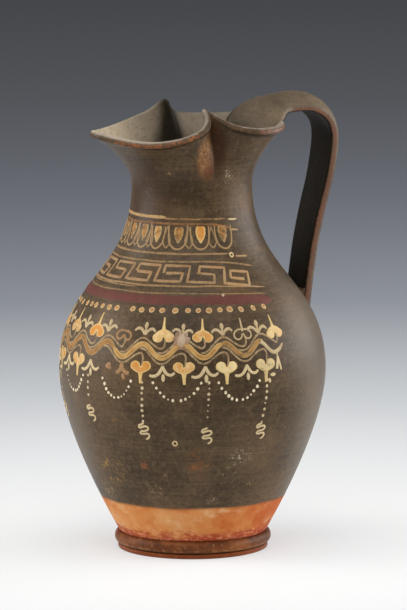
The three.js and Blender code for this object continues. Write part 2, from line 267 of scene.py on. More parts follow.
def outer_radius(height):
    return wall_at(height)[0]


def inner_radius(height):
    radius, slope = wall_at(height)
    return radius - WALL * math.sqrt(1 + slope * slope)


def spread(start, end, count):
    """count + 1 numbers from start to end."""
    return [start + (end - start) * i / count for i in range(count + 1)]


def turned(points, steps):
    """A bmesh spun about the axis from [radius, height] points that run round a closed section."""
    shape = bmesh.new()
    ring = [shape.verts.new((radius, 0, height)) for radius, height in points]
    edges = [shape.edges.new(pair) for pair in zip(ring, ring[1:])]
    if ring[0].co.x > 0:
        edges.append(shape.edges.new((ring[-1], ring[0])))
    bmesh.ops.spin(
        shape,
        geom=ring + edges,
        axis=(0, 0, 1),
        cent=(0, 0, 0),
        angle=2 * math.pi,
        steps=steps,
        use_merge=True,
    )
    bmesh.ops.remove_doubles(shape, verts=shape.verts, dist=1e-4)
    bmesh.ops.recalc_face_normals(shape, faces=shape.faces)
    return shape


def settle(shape, name, material, node=None, sharp=40):
    """Makes the finished piece, in the frame, riding on the jug and standing for its CAD node."""
    bmesh.ops.transform(shape, matrix=JUG_TO_FRAME, verts=shape.verts)
    for face in shape.faces:
        face.smooth = True
    mesh = bpy.data.meshes.new(name)
    shape.to_mesh(mesh)
    shape.free()
    mesh.set_sharp_from_angle(angle=math.radians(sharp))
    mesh.materials.append(material)
    piece = bpy.data.objects.new(name, mesh)
    bpy.context.collection.objects.link(piece)
    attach(piece, "root")
    if node:
        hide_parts(node)
    return piece


# Black gloss and bare clay
# The jug is iron-bearing clay, fired orange. Most of it was brushed with a fine clay slip that fires
# to a brown-black satin gloss: thinner and browner here and there, streaked by the wheel, and rubbed
# off to the orange clay in specks, on the lip and on the edges of the handle.
STEP = "MapRange SMOOTHSTEP"
PLUS = "Math ADD"
TIMES_PLUS = "Math MULTIPLY_ADD"


def jug_vector(tree):
    """Places on the jug in metres from its axis."""
    place = add_node("TexCoord", tree=tree, out="Object")
    return add_node("Mapping", {"Vector": place, "Location": (-AXIS_X, 0, 0)})


def grain(vector, millimetres, detail=3.0, rough=0.5, stretch=(1, 1, 1)):
    """Noise whose grains are about that many millimetres across, drawn out by stretch."""
    noise_sockets = {
        "Vector": add_node("Mapping", {"Vector": vector, "Scale": stretch}),
        "Scale": 1 / (millimetres * MM),
        "Detail": detail,
        "Roughness": rough,
    }
    return add_node("TexNoise", noise_sockets)


def patches(vector, millimetres, low, high, detail, rough, stretch=(1, 1, 1)):
    """Ragged patches: grain that is 0 below one threshold and 1 above the other."""
    return add_node(STEP, [grain(vector, millimetres, detail, rough, stretch), low, high])


def stained(colour, shade, mask, share=1.0):
    """A colour with a shade laid over it where the mask is, as strongly as the share says."""
    if share != 1.0:
        mask = add_node(TIMES, [mask, share])
    return add_node("Mix RGBA", {0: mask, 6: colour, 7: shade}, out=2)


def finish_clay(material, colour, rough, relief, strength, depth, specular=0.5):
    """Ends a material of clay or slip, with a fine relief whose depth is in millimetres."""
    bump = add_node("Bump", {"Height": relief, "Strength": strength, "Distance": depth * MM})
    shader = {
        "Base Color": colour,
        "Roughness": rough,
        "Normal": bump,
        "Specular IOR Level": specular,
    }
    add_node("OutputMaterial", [add_node("BsdfPrincipled", shader)], out=None)
    return material



GLOSS_DARK = "#382B1D"
GLOSS_BROWN = "#4D3D2A"
GLOSS_THIN = "#644F38"
GLOSS_LIGHT_GRAIN = "#7A6345"
# The dark colour of painted shade, laid where the jug lies in shadow.
GLOSS_PAINTED_SHADE = "#211C15"
GLOSS_DARK_GRAIN = "#211A13"
RUBBED_CLAY = "#8F5A30"
OCHRE_SPECK = "#A98A58"
# A pale painted highlight along the top of the lip.
RIM_PAINTED_HIGHLIGHT = "#988B81"
DULL_EDGE = "#7C4E3A"
CLAY_ORANGE = "#C88043"
CLAY_PALE = "#D39A62"
CLAY_SMEAR = "#DDBB92"
CLAY_DEEP = "#B65B24"
RED_WASH = "#9E3520"
WASH_STREAK = "#D9926C"
STAINED_EDGE = "#7E4A2A"
DUST_THIN = "#655A4C"
DUST_THICK = "#857867"
DUST_DARK = "#4A4136"
# Painted light on the inside of the mouth, towards the pouring lobe.
INSIDE_PAINTED_LIGHT = "#C0AE93"
INSIDE_PAINTED_LIGHT_PALE = "#DCCFB6"
WASH_TOP = 19.0  # mm above the table
GLOSS_SHINE = 0.17  # Principled specular level: the worn gloss mirrors little


def clay_colours(vector):
    """Bare clay, fired deeper orange towards the handle, with a smeared red wash above the foot."""
    side, _, height = add_node("SeparateXYZ", [vector], out=None)
    fired_side = add_node(STEP, [side, -32 * MM, 32 * MM, 0.04, -0.2])
    fired = add_node(PLUS, [grain(vector, 16, 5, 0.6), fired_side])
    stops = [(0.3, CLAY_DEEP), (0.5, CLAY_ORANGE), (0.72, CLAY_PALE)]
    clay = add_node("ValToRGB", [fired], stops=stops)
    clay = stained(clay, CLAY_SMEAR, patches(vector, 11, 0.52, 0.7, 6, 0.68, (1, 1, 1.5)), 0.45)
    low = add_node(STEP, [height, 10 * MM, WASH_TOP * MM, 1.0, 0.0])
    low_share = add_node(TIMES, [low, 0.4])
    wash = add_node(TIMES_PLUS, [grain(vector, 6, 6, 0.7, (1, 1, 1.8)), 1.1, low_share])
    clay = stained(clay, RED_WASH, add_node(STEP, [wash, 0.72, 0.95]), 0.8)
    streak = add_node(TIMES_PLUS, [low, 0.12, grain(vector, 3, 6, 0.7, (1, 1, 2.4))])
    return stained(clay, WASH_STREAK, add_node(STEP, [streak, 0.62, 0.72]), 0.7)


def spot(vector, place, radius, tall):
    """1 at a place in millimetres from the axis and 0 at a radius; tall draws it out in height."""
    centre = (-place[0] * MM, -place[1] * MM, -place[2] * MM / tall)
    moved = add_node("Mapping", {"Vector": vector, "Location": centre, "Scale": (1, 1, 1 / tall)})
    away = add_node("VectorMath LENGTH", [moved], out="Value")
    return add_node(STEP, [away, 0.3 * radius * MM, radius * MM, 1.0, 0.0])


def black_gloss(name, wear_and_painted_light=(), rubbed=(RUBBED_CLAY, RUBBED_CLAY), bare_below=None):
    """The gloss of one piece. wear_and_painted_light lists its worn places, and broad patches of
    painted sheen and painted shade, as (place, radius, tall, colour, grains in millimetres,
    threshold, share); rubbed is the clay colour of its worn edges, towards -X and towards +X; below
    the height bare_below, in millimetres, it has bare clay."""
    material, tree = new_material(name)
    vector = jug_vector(tree)
    side, _, height = add_node("SeparateXYZ", [vector], out=None)
    inside, kept, rim, worn = (
        add_node("Attribute " + layer, tree=tree, out="Fac")
        for layer in ("inside", "kept", "rim", "worn")
    )
    # The coat itself: broad thicker and thinner places, wheel streaks, fine grain, specks and stains.
    broad = grain(vector, 38, 5, 0.6)
    wheel = grain(vector, 30, 4, 0.6, (1, 1, 26))
    fine = grain(vector, 1.5, 4, 0.6)
    coat = add_node(TIMES_PLUS, [broad, 0.7, add_node(TIMES, [wheel, 0.3])])
    stops = [(0.36, GLOSS_DARK), (0.5, GLOSS_BROWN), (0.64, GLOSS_THIN)]
    colour = add_node("ValToRGB", [coat], stops=stops)
    pale = patches(vector, 2.6, 0.46, 0.72, 6, 0.7)
    colour = stained(colour, GLOSS_LIGHT_GRAIN, pale, 0.45)
    deep = add_node(STEP, [fine, 0.5, 0.7])
    colour = stained(colour, GLOSS_DARK_GRAIN, deep, 0.45)
    specked = add_node(TIMES, [patches(vector, 26, 0.5, 0.62, 3, 0.5), 0.5])
    colour = stained(colour, OCHRE_SPECK, patches(vector, 2.2, 0.66, 0.72, 8, 0.75), specked)
    colour = stained(colour, RUBBED_CLAY, patches(vector, 20, 0.58, 0.8, 6, 0.6, (1, 1, 0.6)), 0.3)
    # Worn places, and broad patches of painted sheen and painted shade.
    for place, radius, tall, shade, grains, threshold, share in wear_and_painted_light:
        ragged = patches(vector, grains, threshold, threshold + 0.14, 6, 0.7)
        near = add_node(TIMES, [spot(vector, place, radius, tall), share])
        colour = stained(colour, shade, near, ragged)
    # The dusty inside, made paler towards the pouring lobe by painted light, and painted shade where
    # the far fold, the lip's underside and the handle's inner face lie in shadow.
    dusty = stained(DUST_THIN, DUST_THICK, add_node(STEP, [broad, 0.35, 0.65]))
    # Painted light: the inside is made paler towards -X, the pouring lobe, against the shadow that
    # falls into the mouth.
    painted_light_inside = stained(INSIDE_PAINTED_LIGHT, INSIDE_PAINTED_LIGHT_PALE, pale, 0.5)
    dusty = stained(dusty, painted_light_inside, add_node(STEP, [side, -42 * MM, -4 * MM, 0.95, 0.0]))
    colour = stained(colour, stained(dusty, DUST_DARK, deep, 0.4), inside)
    colour = stained(colour, stained(GLOSS_PAINTED_SHADE, GLOSS_BROWN, pale, 0.25), kept)
    # A painted highlight along the top of the lip, and the edges that are rubbed to the clay.
    thin = add_node(TIMES_PLUS, [pale, 0.4, add_node(TIMES, [rim, 0.8])])
    colour = stained(colour, RIM_PAINTED_HIGHLIGHT, add_node(STEP, [thin, 0.5, 1.1]), 0.8)
    clay_edge = stained(rubbed[0], rubbed[1], add_node(STEP, [side, -14 * MM, -4 * MM]))
    clay_edge = stained(clay_edge, DULL_EDGE, patches(vector, 6, 0.46, 0.6, 4, 0.6), 0.7)
    ragged_edge = add_node(PLUS, [worn, grain(vector, 2.2, 7, 0.72, (1, 1, 2))])
    colour = stained(colour, clay_edge, add_node(STEP, [ragged_edge, 1.32, 1.5]), 0.9)
    inside_rough = add_node(TIMES_PLUS, [inside, 0.2, 0.33])
    rough = add_node(TIMES_PLUS, [fine, 0.16, inside_rough])
    if bare_below:
        # The wavy edge where the coat ends, with a brown stain below it on the bare clay.
        wavy = add_node(TIMES_PLUS, [grain(vector, 22, 3, 0.5), 2.2 * MM, height])
        edge = bare_below + 1.1
        reserved = add_node(STEP, [wavy, (edge - 0.25) * MM, (edge + 0.25) * MM, 1.0, 0.0])
        stain = add_node(STEP, [wavy, (edge - 1.6) * MM, (edge - 0.2) * MM, 0.0, 0.6])
        colour = stained(colour, stained(clay_colours(vector), STAINED_EDGE, stain), reserved)
        rough = add_node(TIMES_PLUS, [reserved, 0.22, rough])
    # Painted shade also takes away most of the gloss's shine.
    specular = add_node(TIMES_PLUS, [kept, -0.7 * GLOSS_SHINE, GLOSS_SHINE])
    relief = add_node(TIMES_PLUS, [wheel, 0.6, add_node(TIMES, [fine, 0.25])])
    return finish_clay(material, colour, rough, relief, 0.35, 0.35, specular)



# Body
# The ovoid shell, thrown in one piece with its floor. Its lowest 29 mm are left bare, and low on the
# belly the gloss is scuffed.
GLOSS_EDGE = 28.6  # mm above the table, where the dipped gloss ends


def on_wall(degrees, height):
    """A place on the thrown wall, by degrees to the right of the picture's front."""
    angle = math.radians(FRONT + degrees)
    radius = outer_radius(height)
    return (radius * math.cos(angle), radius * math.sin(angle), height)


body_wear_and_sheen = [
    (on_wall(24, 57), 9, 0.9, "#B0A083", 1.5, 0.51, 1),
    (on_wall(18, 49), 8, 0.6, "#93835F", 1.8, 0.54, 1),
    (on_wall(-46, 48), 12, 1.1, "#9E783C", 1.8, 0.52, 1),
    (on_wall(2, 55), 7, 2.2, "#6E4526", 3.0, 0.47, 1),
    (on_wall(4, 52), 9, 0.3, "#8A5A2C", 1.6, 0.47, 1),
    (on_wall(-25, 52), 4, 1.0, "#7A4A2C", 2.0, 0.45, 1),
    (on_wall(-37, 76), 3, 0.8, "#7C5A38", 1.6, 0.45, 1),
    (on_wall(-14, 47), 1.6, 1.0, "#A9927A", 0.9, 0.5, 1),
    (on_wall(11, 33), 4, 0.7, "#A9927A", 1.0, 0.5, 1),
    (on_wall(-21, 38), 6, 1.3, "#8F7A50", 1.4, 0.51, 1),
    (on_wall(-57, 34), 8, 1.0, "#9A8458", 1.4, 0.52, 1),
    (on_wall(33, 41), 5, 0.5, "#9A8458", 1.4, 0.52, 1),
    # The last two are broad paler patches on the flanks: painted sheen where the side lamps light the
    # belly.
    (on_wall(74, 90), 40, 2.2, "#7C7062", 10.0, 0.2, 0.4),
    (on_wall(-72, 80), 30, 2.4, "#6F6150", 10.0, 0.2, 0.4),
]
body_gloss = black_gloss("brown_black_gloss_body", wear_and_painted_light=body_wear_and_sheen, bare_below=GLOSS_EDGE)
FLOOR_TURN = [(0.18, 0.62), (0.55, 0.25), (1, 0.06), (1.4, 0)]  # inwards and up, in fillets
floor_top = BODY_BASE + FLOOR
turn_in = inner_radius(floor_top + FLOOR_FILLET)
body_profile = (
    [(0, BODY_BASE)]
    + [(outer_radius(z), z) for z in spread(BODY_BASE + 0.01, JOINT, 130)]
    + [(inner_radius(z), z) for z in reversed(spread(floor_top + FLOOR_FILLET, JOINT, 60))]
    + [(turn_in - FLOOR_FILLET * inwards, floor_top + FLOOR_FILLET * up) for inwards, up in FLOOR_TURN]
    + [(0, floor_top)]
)
settle(turned(body_profile, ROUND_STEPS), "thrown_body", body_gloss, node="body")

# Foot
# A thrown and turned ring, luted under the body: a plain step, a turned groove and a rounded rim. It
# was washed with thin slip that fired red-brown, and it is rubbed to the clay on its rim.
FOOT_RADIUS = foot_high[1] / MM
FOOT_TOP_RADIUS = 38.4
TREAD_RADIUS = 39.1
TREAD_INNER_RADIUS = 32
TREAD_HEIGHT = 2.7
FOOT_GROOVE = 0.7
FOOT_BORE_RADIUS = 29
TURNED_EDGE = 0.5


def zone(height, low, low_full, high_full, high):
    """1 between two heights in millimetres, easing in and out."""
    above = add_node(STEP, [height, low * MM, low_full * MM])
    below = add_node(STEP, [height, high_full * MM, high * MM, 1.0, 0.0])
    return add_node(TIMES, [above, below])


def foot_wash():
    """A thin wash of iron-rich slip, fired red-brown: satin, blotchy where it ran, with painted shade
    towards +X and a painted shadow, nearly black, in the turned groove under the rim, and rubbed to
    the clay on the ridge."""
    material, tree = new_material("red_brown_foot_wash")
    vector = jug_vector(tree)
    side, _, height = add_node("SeparateXYZ", [vector], out=None)
    stops = [(0.32, "#46240F"), (0.5, "#6C3C1E"), (0.7, "#8A5229")]
    colour = add_node("ValToRGB", [grain(vector, 14, 5, 0.6, (1, 1, 2))], stops=stops)
    # Painted shade: the foot is darker towards +X, the side that the right lamp lights.
    colour = stained(colour, "#3A2618", add_node(STEP, [side, 0.0, 36 * MM, 0.0, 0.45]))
    plain_step = [height, (TREAD_HEIGHT - 0.6) * MM, (TREAD_HEIGHT + 0.2) * MM, 1.0, 0.0]
    colour = stained(colour, "#86421F", add_node(STEP, plain_step), 0.7)
    # Painted shadow in the turned groove under the rounded rim.
    groove = zone(height, TREAD_HEIGHT - 0.4, TREAD_HEIGHT, TREAD_HEIGHT, TREAD_HEIGHT + 0.9)
    colour = stained(colour, "#24140E", groove, 0.85)
    ridge = zone(height, TREAD_HEIGHT + 0.7, TREAD_HEIGHT + 1.1, 4.2, 5.2)
    rubbed_ridge = add_node(TIMES, [ridge, patches(vector, 5, 0.46, 0.6, 6, 0.7)])
    colour = stained(colour, "#A8774A", rubbed_ridge, 0.55)
    colour = stained(colour, "#B98A5A", patches(vector, 1.6, 0.58, 0.66, 7, 0.7), 0.6)
    return finish_clay(material, colour, 0.45, grain(vector, 1.2, 4), 0.3, 0.3, 0.14)


rim_half = (FOOT_HEIGHT - TREAD_HEIGHT) / 2
foot_rim = [
    (
        FOOT_TOP_RADIUS + (FOOT_RADIUS - FOOT_TOP_RADIUS) * math.cos(math.radians(a)),
        TREAD_HEIGHT + rim_half + rim_half * math.sin(math.radians(a)),
    )
    for a in range(-75, 86, 8)
]
foot_profile = (
    [
        (TREAD_INNER_RADIUS, 0),
        (TREAD_RADIUS - TURNED_EDGE, 0),
        (TREAD_RADIUS - TURNED_EDGE * 0.3, TURNED_EDGE * 0.3),
        (TREAD_RADIUS, TURNED_EDGE),
        (TREAD_RADIUS, TREAD_HEIGHT - TURNED_EDGE),
        (TREAD_RADIUS - FOOT_GROOVE * 0.5, TREAD_HEIGHT - TURNED_EDGE * 0.3),
        (TREAD_RADIUS - FOOT_GROOVE, TREAD_HEIGHT),
    ]
    + foot_rim
    + [
        (FOOT_TOP_RADIUS, FOOT_HEIGHT),
        (FOOT_BORE_RADIUS, FOOT_HEIGHT),
        (FOOT_BORE_RADIUS, FOOT_HEIGHT - 2 * TURNED_EDGE),
    ]
)
foot_shape = turned(foot_profile, ROUND_STEPS)
settle(foot_shape, "turned_ring_foot", foot_wash(), node="foot_ring")


# Slip beds
# The thin slip of potter's clay that glued foot, body and neck together while they were leather-hard.
# It shows as a line of bare clay: matt, orange and grainy.
clay, clay_tree = new_material("bare_orange_clay")
clay_vector = jug_vector(clay_tree)
finish_clay(clay, clay_colours(clay_vector), 0.75, grain(clay_vector, 0.8, 4), 0.4, 0.2)
for node_name in ("foot_slip", "neck_slip"):
    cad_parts[node_name].material_slots[0].material = clay

# Neck and mouth
# The neck was thrown apart, its rim opened wide and then pinched between finger and thumb into three
# lobes: one to pour from and one at each side of the handle. Its lip is worn down to the clay.
MOUTH_REACH = 57
MOUTH_HALF_WIDTH = 39
MOUTH_RISE = 42
LIP_THICKNESS = 3.1
LIP_ROLL = 0.9
FLARE_POWER = 1.85
FAR_SIDE_LIFT = 3.2
FAR_FOLD_LEAN = 16  # degrees round the neck
# along, aside and rise as shares of the three sizes above, and the neck angle in degrees
LIP = [
    (0.785, 0, 0.78, 0),
    (0.745, 0.51, 0.775, 24),
    (0.59, 0.85, 0.745, 44),
    (0.36, 1, 0.745, 61),
    (0.15, 0.93, 0.79, 75),
    (0.02, 0.775, 0.88, 86),
    (-0.07, 0.585, 0.985, 94),
    (-0.087, 0.674, 0.955, 98),
    (-0.1, 0.755, 0.885, 103),
    (-0.165, 0.835, 0.785, 110),
    (-0.28, 0.865, 0.71, 117.5),
    (-0.42, 0.836, 0.655, 127),
    (-0.59, 0.744, 0.618, 139),
    (-0.745, 0.585, 0.62, 152),
    (-0.885, 0.344, 0.655, 165),
    (-1, 0, 0.71, 180),
]
LIP_SAMPLES = 12
FLARE = 100.0  # how high the flaring part stands before it is pinched into place


def between(before, start, end, after, share, even=True):
    """A point on the smooth curve through four points. Uneven knots keep it tight round short steps."""
    knots = [0.0]
    for a, b in ((before, start), (start, end), (end, after)):
        knots.append(knots[-1] + (1 if even else math.sqrt((b - a).length)))
    at = knots[1] + (knots[2] - knots[1]) * share

    def blend(a, b, low, high):
        return a + (b - a) * ((at - low) / (high - low))

    first = blend(before, start, knots[0], knots[1])
    second = blend(start, end, knots[1], knots[2])
    third = blend(end, after, knots[2], knots[3])
    left = blend(first, second, knots[0], knots[2])
    right = blend(second, third, knots[1], knots[3])
    return blend(left, right, knots[1], knots[2])


sized_lip = [
    Vector((along * MOUTH_REACH, aside * MOUTH_HALF_WIDTH, rise * MOUTH_RISE, angle))
    for along, aside, rise, angle in LIP
]
near_lip = [Vector((p[0], -p[1], p[2], -p[3])) for p in sized_lip]
far_lip = [Vector((p[0], p[1], p[2], p[3] - 360)) for p in sized_lip[-2:0:-1]]
far_peak = len(LIP) - 8
for index, point in enumerate(far_lip):
    point[2] += FAR_SIDE_LIFT * max(0.2, math.sin(math.pi * (index + 1) / (far_peak + 1)))
    point[3] -= FAR_FOLD_LEAN * max(0, 1 - abs(index - far_peak) / 4)
lip_loop = near_lip + far_lip


def lip_at(index):
    """A point of the closed lip; each time round, the neck angle goes on falling."""
    rounds, place = divmod(index, len(lip_loop))
    point = lip_loop[place].copy()
    point[3] -= 360 * rounds
    return point


lip_columns = [
    between(lip_at(i - 1), lip_at(i), lip_at(i + 1), lip_at(i + 2), s / LIP_SAMPLES)
    for i in range(len(lip_loop))
    for s in range(LIP_SAMPLES)
]


def ease(value, low, high):
    share = min(max((value - low) / (high - low), 0), 1)
    return share * share * (3 - 2 * share)


def mouth_wall(column, share):
    """The middle of the pinched wall: share 0 at the narrowest neck, 1 at the lip."""
    along, aside, rise, angle = lip_columns[column % len(lip_columns)]
    swing = share**FLARE_POWER
    middle = NECK_RADIUS - WALL / 2
    x = middle * math.cos(math.radians(angle))
    y = middle * math.sin(math.radians(angle))
    return Vector((x + (along - x) * swing, y + (aside - y) * swing, NECK_HEIGHT + rise * share))


neck_rows = spread(JOINT - NECK_HEIGHT, 0, 14)[:-1]
flare_rows = spread(0, 0.965 * FLARE, 44)
WALL_RADIUS = 50  # of the straight tube that is spun first
# From where to where up the flare, as shares of its height, each of these comes in.
ROLLED = (0.88, 1)
WORN = (0.94, 0.985)
DUSTY = (0.1, 0.45)
LIP_TOP = (0.985, 1)
# where the painted shadow under the lip comes in and goes out
UNDER_LIP_SHADE = (0.88, 0.92)
UNDER_LIP_SHADE_ENDS = (0.945, 0.97)
SHADED = (0.1, 0.3)
UNPINCHED_ENDS = (0.8, 0.92)  # shares of the mouth's rise


def wall_half(share):
    return (WALL + (LIP_THICKNESS - WALL) * share) / 2


outside = [(WALL_RADIUS + wall_half(max(0, t) / FLARE), t) for t in neck_rows + flare_rows]
inside = [(2 * WALL_RADIUS - r, t) for r, t in reversed(outside)]
lip_round = [
    (
        WALL_RADIUS + wall_half(1) * math.cos(math.radians(a)),
        FLARE + 1 - wall_half(1) * (1 - math.sin(math.radians(a))),
    )
    for a in range(0, 181, 20)
]
mouth_shape = turned(outside + lip_round + inside, len(lip_columns))
worn_layer = mouth_shape.verts.layers.float.new("worn")
inside_layer = mouth_shape.verts.layers.float.new("inside")
painted_shade_layer = mouth_shape.verts.layers.float.new("kept")
rim_highlight_layer = mouth_shape.verts.layers.float.new("rim")
FAR_CREST = (len(near_lip) + far_peak) * LIP_SAMPLES  # the column on which the far pinch folds
for vert in mouth_shape.verts:
    turn = math.atan2(vert.co.y, vert.co.x) / (2 * math.pi)
    column = round(turn * len(lip_columns)) % len(lip_columns)
    offset = math.hypot(vert.co.x, vert.co.y) - WALL_RADIUS
    height = vert.co.z
    if height < 0:
        angle = math.radians(lip_columns[column][3])
        z = NECK_HEIGHT + height
        radius = outer_radius(z) if offset > 0 else inner_radius(z)
        vert.co = (radius * math.cos(angle), radius * math.sin(angle), z)
        continue
    beyond = min(0, height - FLARE - 1) if height > FLARE - 2 else 0
    share = 1.0 if height > FLARE - 2 else height / FLARE
    tiny = 0.004
    here = mouth_wall(column, share)
    along = mouth_wall(column + 1, share) - mouth_wall(column - 1, share)
    just_above = mouth_wall(column, min(1, share + tiny))
    up = (just_above - mouth_wall(column, max(0, share - tiny))).normalized()
    outwards = up.cross(along).normalized()
    rise = lip_columns[column][2] / MOUTH_RISE
    unpinched = 1 - ease(rise, *UNPINCHED_ENDS)
    roll = LIP_ROLL * unpinched * ease(share, *ROLLED) * max(0, offset) / wall_half(1)
    vert.co = here + outwards * (offset + roll) + up * beyond
    # The lip's outer edge is rubbed to the clay, most where it poured and where fingers gripped it.
    outer_side = ease(offset, -0.9, 0.6)
    poured = ease(-here.x, 10, 16) * ease(-here.y, 7, 15)
    gripped = ease(here.x, 12, 24) * ease(-here.y, 0, 8)
    rubbed_away = 0.68 + 0.21 * poured + 0.25 * gripped
    vert[worn_layer] = ease(share, *WORN) * outer_side * unpinched * rubbed_away
    vert[inside_layer] = ease(share, *DUSTY) * (1 - ease(offset, -0.6, 0.5))
    # A painted highlight along the top of the lip, strongest on the near side.
    lip_top = ease(share, *LIP_TOP) * ease(beyond, -1.3, -0.7) * (1 - ease(offset, 0.1, 0.95))
    vert[rim_highlight_layer] = lip_top * (0.3 + 0.7 * ease(-here.y, -4, 4))
    # Painted shadow under the rolled lip, on its outer side.
    under_lip = ease(share, *UNDER_LIP_SHADE) * (1 - ease(share, *UNDER_LIP_SHADE_ENDS))
    vert[painted_shade_layer] = 0.6 * under_lip * outer_side * unpinched
    if offset < 0.5:
        # Inside, painted shade lies in the far fold, where its crease is in shadow, and it is wider low
        # down. It is counted in columns.
        past_crest = column - FAR_CREST
        start = -34 + 22 * ease(share, 0.45, 1)
        folded = ease(past_crest, start - 14, start + 14) * (1 - ease(past_crest, 14, 30))
        vert[painted_shade_layer] = 0.95 * folded * ease(share, *SHADED)
bmesh.ops.recalc_face_normals(mouth_shape, faces=mouth_shape.faces)
neck_wear_and_shade = [
    # The first two are painted shade, darkening the neck on its left side and in its middle.
    ((-30.5, -6.9, 190), 24, 1.6, "#3C2618", 8.0, 0.2, 0.5),
    ((-18.3, -25.3, 190), 19, 0.7, "#20170F", 6.0, 0.3, 0.5),
    ((-1.5, -31.5, 213), 9, 2.1, "#3A2413", 6.0, 0.3, 1),
    ((1.7, -26, 223), 6, 1.7, "#5E3414", 1.6, 0.42, 1),
    ((-7.9, -31, 208), 6.6, 2.3, "#7C5535", 3.0, 0.36, 1),
    ((-8.6, -31, 209), 5.6, 2.3, "#9C7047", 1.4, 0.46, 1),
    ((-8.3, -31, 207), 6.2, 2.2, "#C0A27A", 0.9, 0.57, 1),
    ((-6, -31, 199.5), 4, 1.3, "#673A28", 2.0, 0.42, 1),
    ((5, -30.5, 197.5), 4.4, 1.1, "#CDB595", 0.9, 0.53, 1),
    ((12.5, -28.5, 203), 2.0, 1.2, "#D2C4AA", 0.9, 0.5, 1),
    ((-24, -22, 199.5), 2, 1.0, "#B79458", 1.0, 0.5, 1),
]
mouth_gloss = black_gloss("brown_black_gloss_neck", wear_and_painted_light=neck_wear_and_shade, rubbed=("#A85F30", "#8A5C4E"))
settle(mouth_shape, "pinched_neck_and_mouth", mouth_gloss, node="neck_and_mouth")

# Strap handle
# A pulled strap of clay, flat towards the hand gap and crowned outside. It is smeared wide inside the
# lip, rises over it in a high arch, and is pressed on to the shoulder.
STRAP_HALF_WIDTH = 11.6
STRAP_EDGE = 4.4
STRAP_ARCH_EDGE = 3.6
STRAP_CROWN = 6.8
STRAP_REACH = 76.4
STRAP_RISE = 5.2
STRAP_TOP_REACH = 58
STRAP_ARCH_DROP = 13.5
STRAP_ROOT_INSET = 4.6
STRAP_ROOT_DEPTH = 11
STRAP_ROOT_HALF_WIDTH = 22.8
STRAP_ROOT_SAG = 0.0025
STRAP_ROOT_TUCK = 0.006  # more sag of its first end, which the lip's own curve hides
STRAP_ROOT_SWELL = 3.2
STRAP_DROOP = 2.7
STRAP_FOOT_HALF_WIDTH = 10.4
STRAP_FOOT_HEIGHT = 128
STRAP_STEPS = 150
PATH_SAMPLES = 40
EDGE_WEAR = 1.4  # millimetres in from each edge

lip_reach = sized_lip[0][0]
lip_top = NECK_HEIGHT + sized_lip[0][2]
arch_top = lip_top + STRAP_RISE
strap_shoulder = outer_radius(STRAP_FOOT_HEIGHT)
grip_top = arch_top - STRAP_ARCH_DROP


def strap_root(inset, depth):
    return Vector((lip_reach - STRAP_ROOT_INSET * inset, 0, lip_top - STRAP_ROOT_DEPTH * depth))


def strap_turn(out, down):
    reach = STRAP_TOP_REACH + (STRAP_REACH - STRAP_TOP_REACH) * out
    return Vector((reach, 0, arch_top - STRAP_ARCH_DROP * down))


def strap_grip(out, down):
    reach = strap_shoulder + (STRAP_REACH - strap_shoulder) * out
    return Vector((reach, 0, grip_top - (grip_top - STRAP_FOOT_HEIGHT) * down))


strap_points = [
    strap_root(1.88, 1),
    strap_root(1.15, 0.55),
    strap_root(0.48, 0.16),
    strap_root(-0.22, -0.16),
    Vector(((lip_reach + STRAP_TOP_REACH) / 2, 0, arch_top - STRAP_RISE / 4)),
    strap_turn(0, 0),
    strap_turn(0.41, 0.045),
    strap_turn(0.72, 0.27),
    strap_turn(0.92, 0.59),
    strap_grip(1, 0),
    strap_grip(0.925, 0.14),
    strap_grip(0.77, 0.29),
    strap_grip(0.52, 0.46),
    strap_grip(0.27, 0.66),
    strap_grip(0.12, 0.83),
    strap_grip(0, 1),
    strap_grip(-0.08, 1.14),
]
before_first = 2 * strap_points[0] - strap_points[1]
after_last = 2 * strap_points[-1] - strap_points[-2]
open_points = [before_first] + strap_points + [after_last]
fine_path = [
    between(*open_points[i : i + 4], s / PATH_SAMPLES, even=False)
    for i in range(len(strap_points) - 1)
    for s in range(PATH_SAMPLES)
] + [strap_points[-1]]
path_lengths = [0.0]
for a, b in zip(fine_path, fine_path[1:]):
    path_lengths.append(path_lengths[-1] + (b - a).length)


def strap_path(share):
    """Place and direction at a share of the strap's length."""
    far = share * path_lengths[-1]
    i = min(max(bisect.bisect_left(path_lengths, far), 1), len(fine_path) - 1)
    part = (far - path_lengths[i - 1]) / (path_lengths[i] - path_lengths[i - 1])
    direction = (fine_path[i] - fine_path[i - 1]).normalized()
    return fine_path[i - 1].lerp(fine_path[i], part), direction


def strap_section(half, edge, crown):
    """The strap across: (aside, up) points round it, starting on the flat inner face."""
    corner = min(1.3, edge * 0.35)
    flat = [(share * (half - corner), 0.25 * (1 - abs(share)) ** 2) for share in spread(-1, 1, 14)]
    inner_corner = [
        (half - corner + corner * math.sin(a), corner - corner * math.cos(a))
        for a in (math.radians(d) for d in (30, 60, 90))
    ]
    outer_corner = [
        (half - corner + corner * math.cos(a), edge - corner + corner * math.sin(a))
        for a in (math.radians(d) for d in (0, 30, 60))
    ]
    outer = [
        (share * half, edge + (crown - edge) * (1 - share * share)) for share in spread(0.9, -0.9, 18)
    ]
    mirrored = [(-x, y) for x, y in reversed(inner_corner + outer_corner)]
    return flat + inner_corner + outer_corner + outer + mirrored


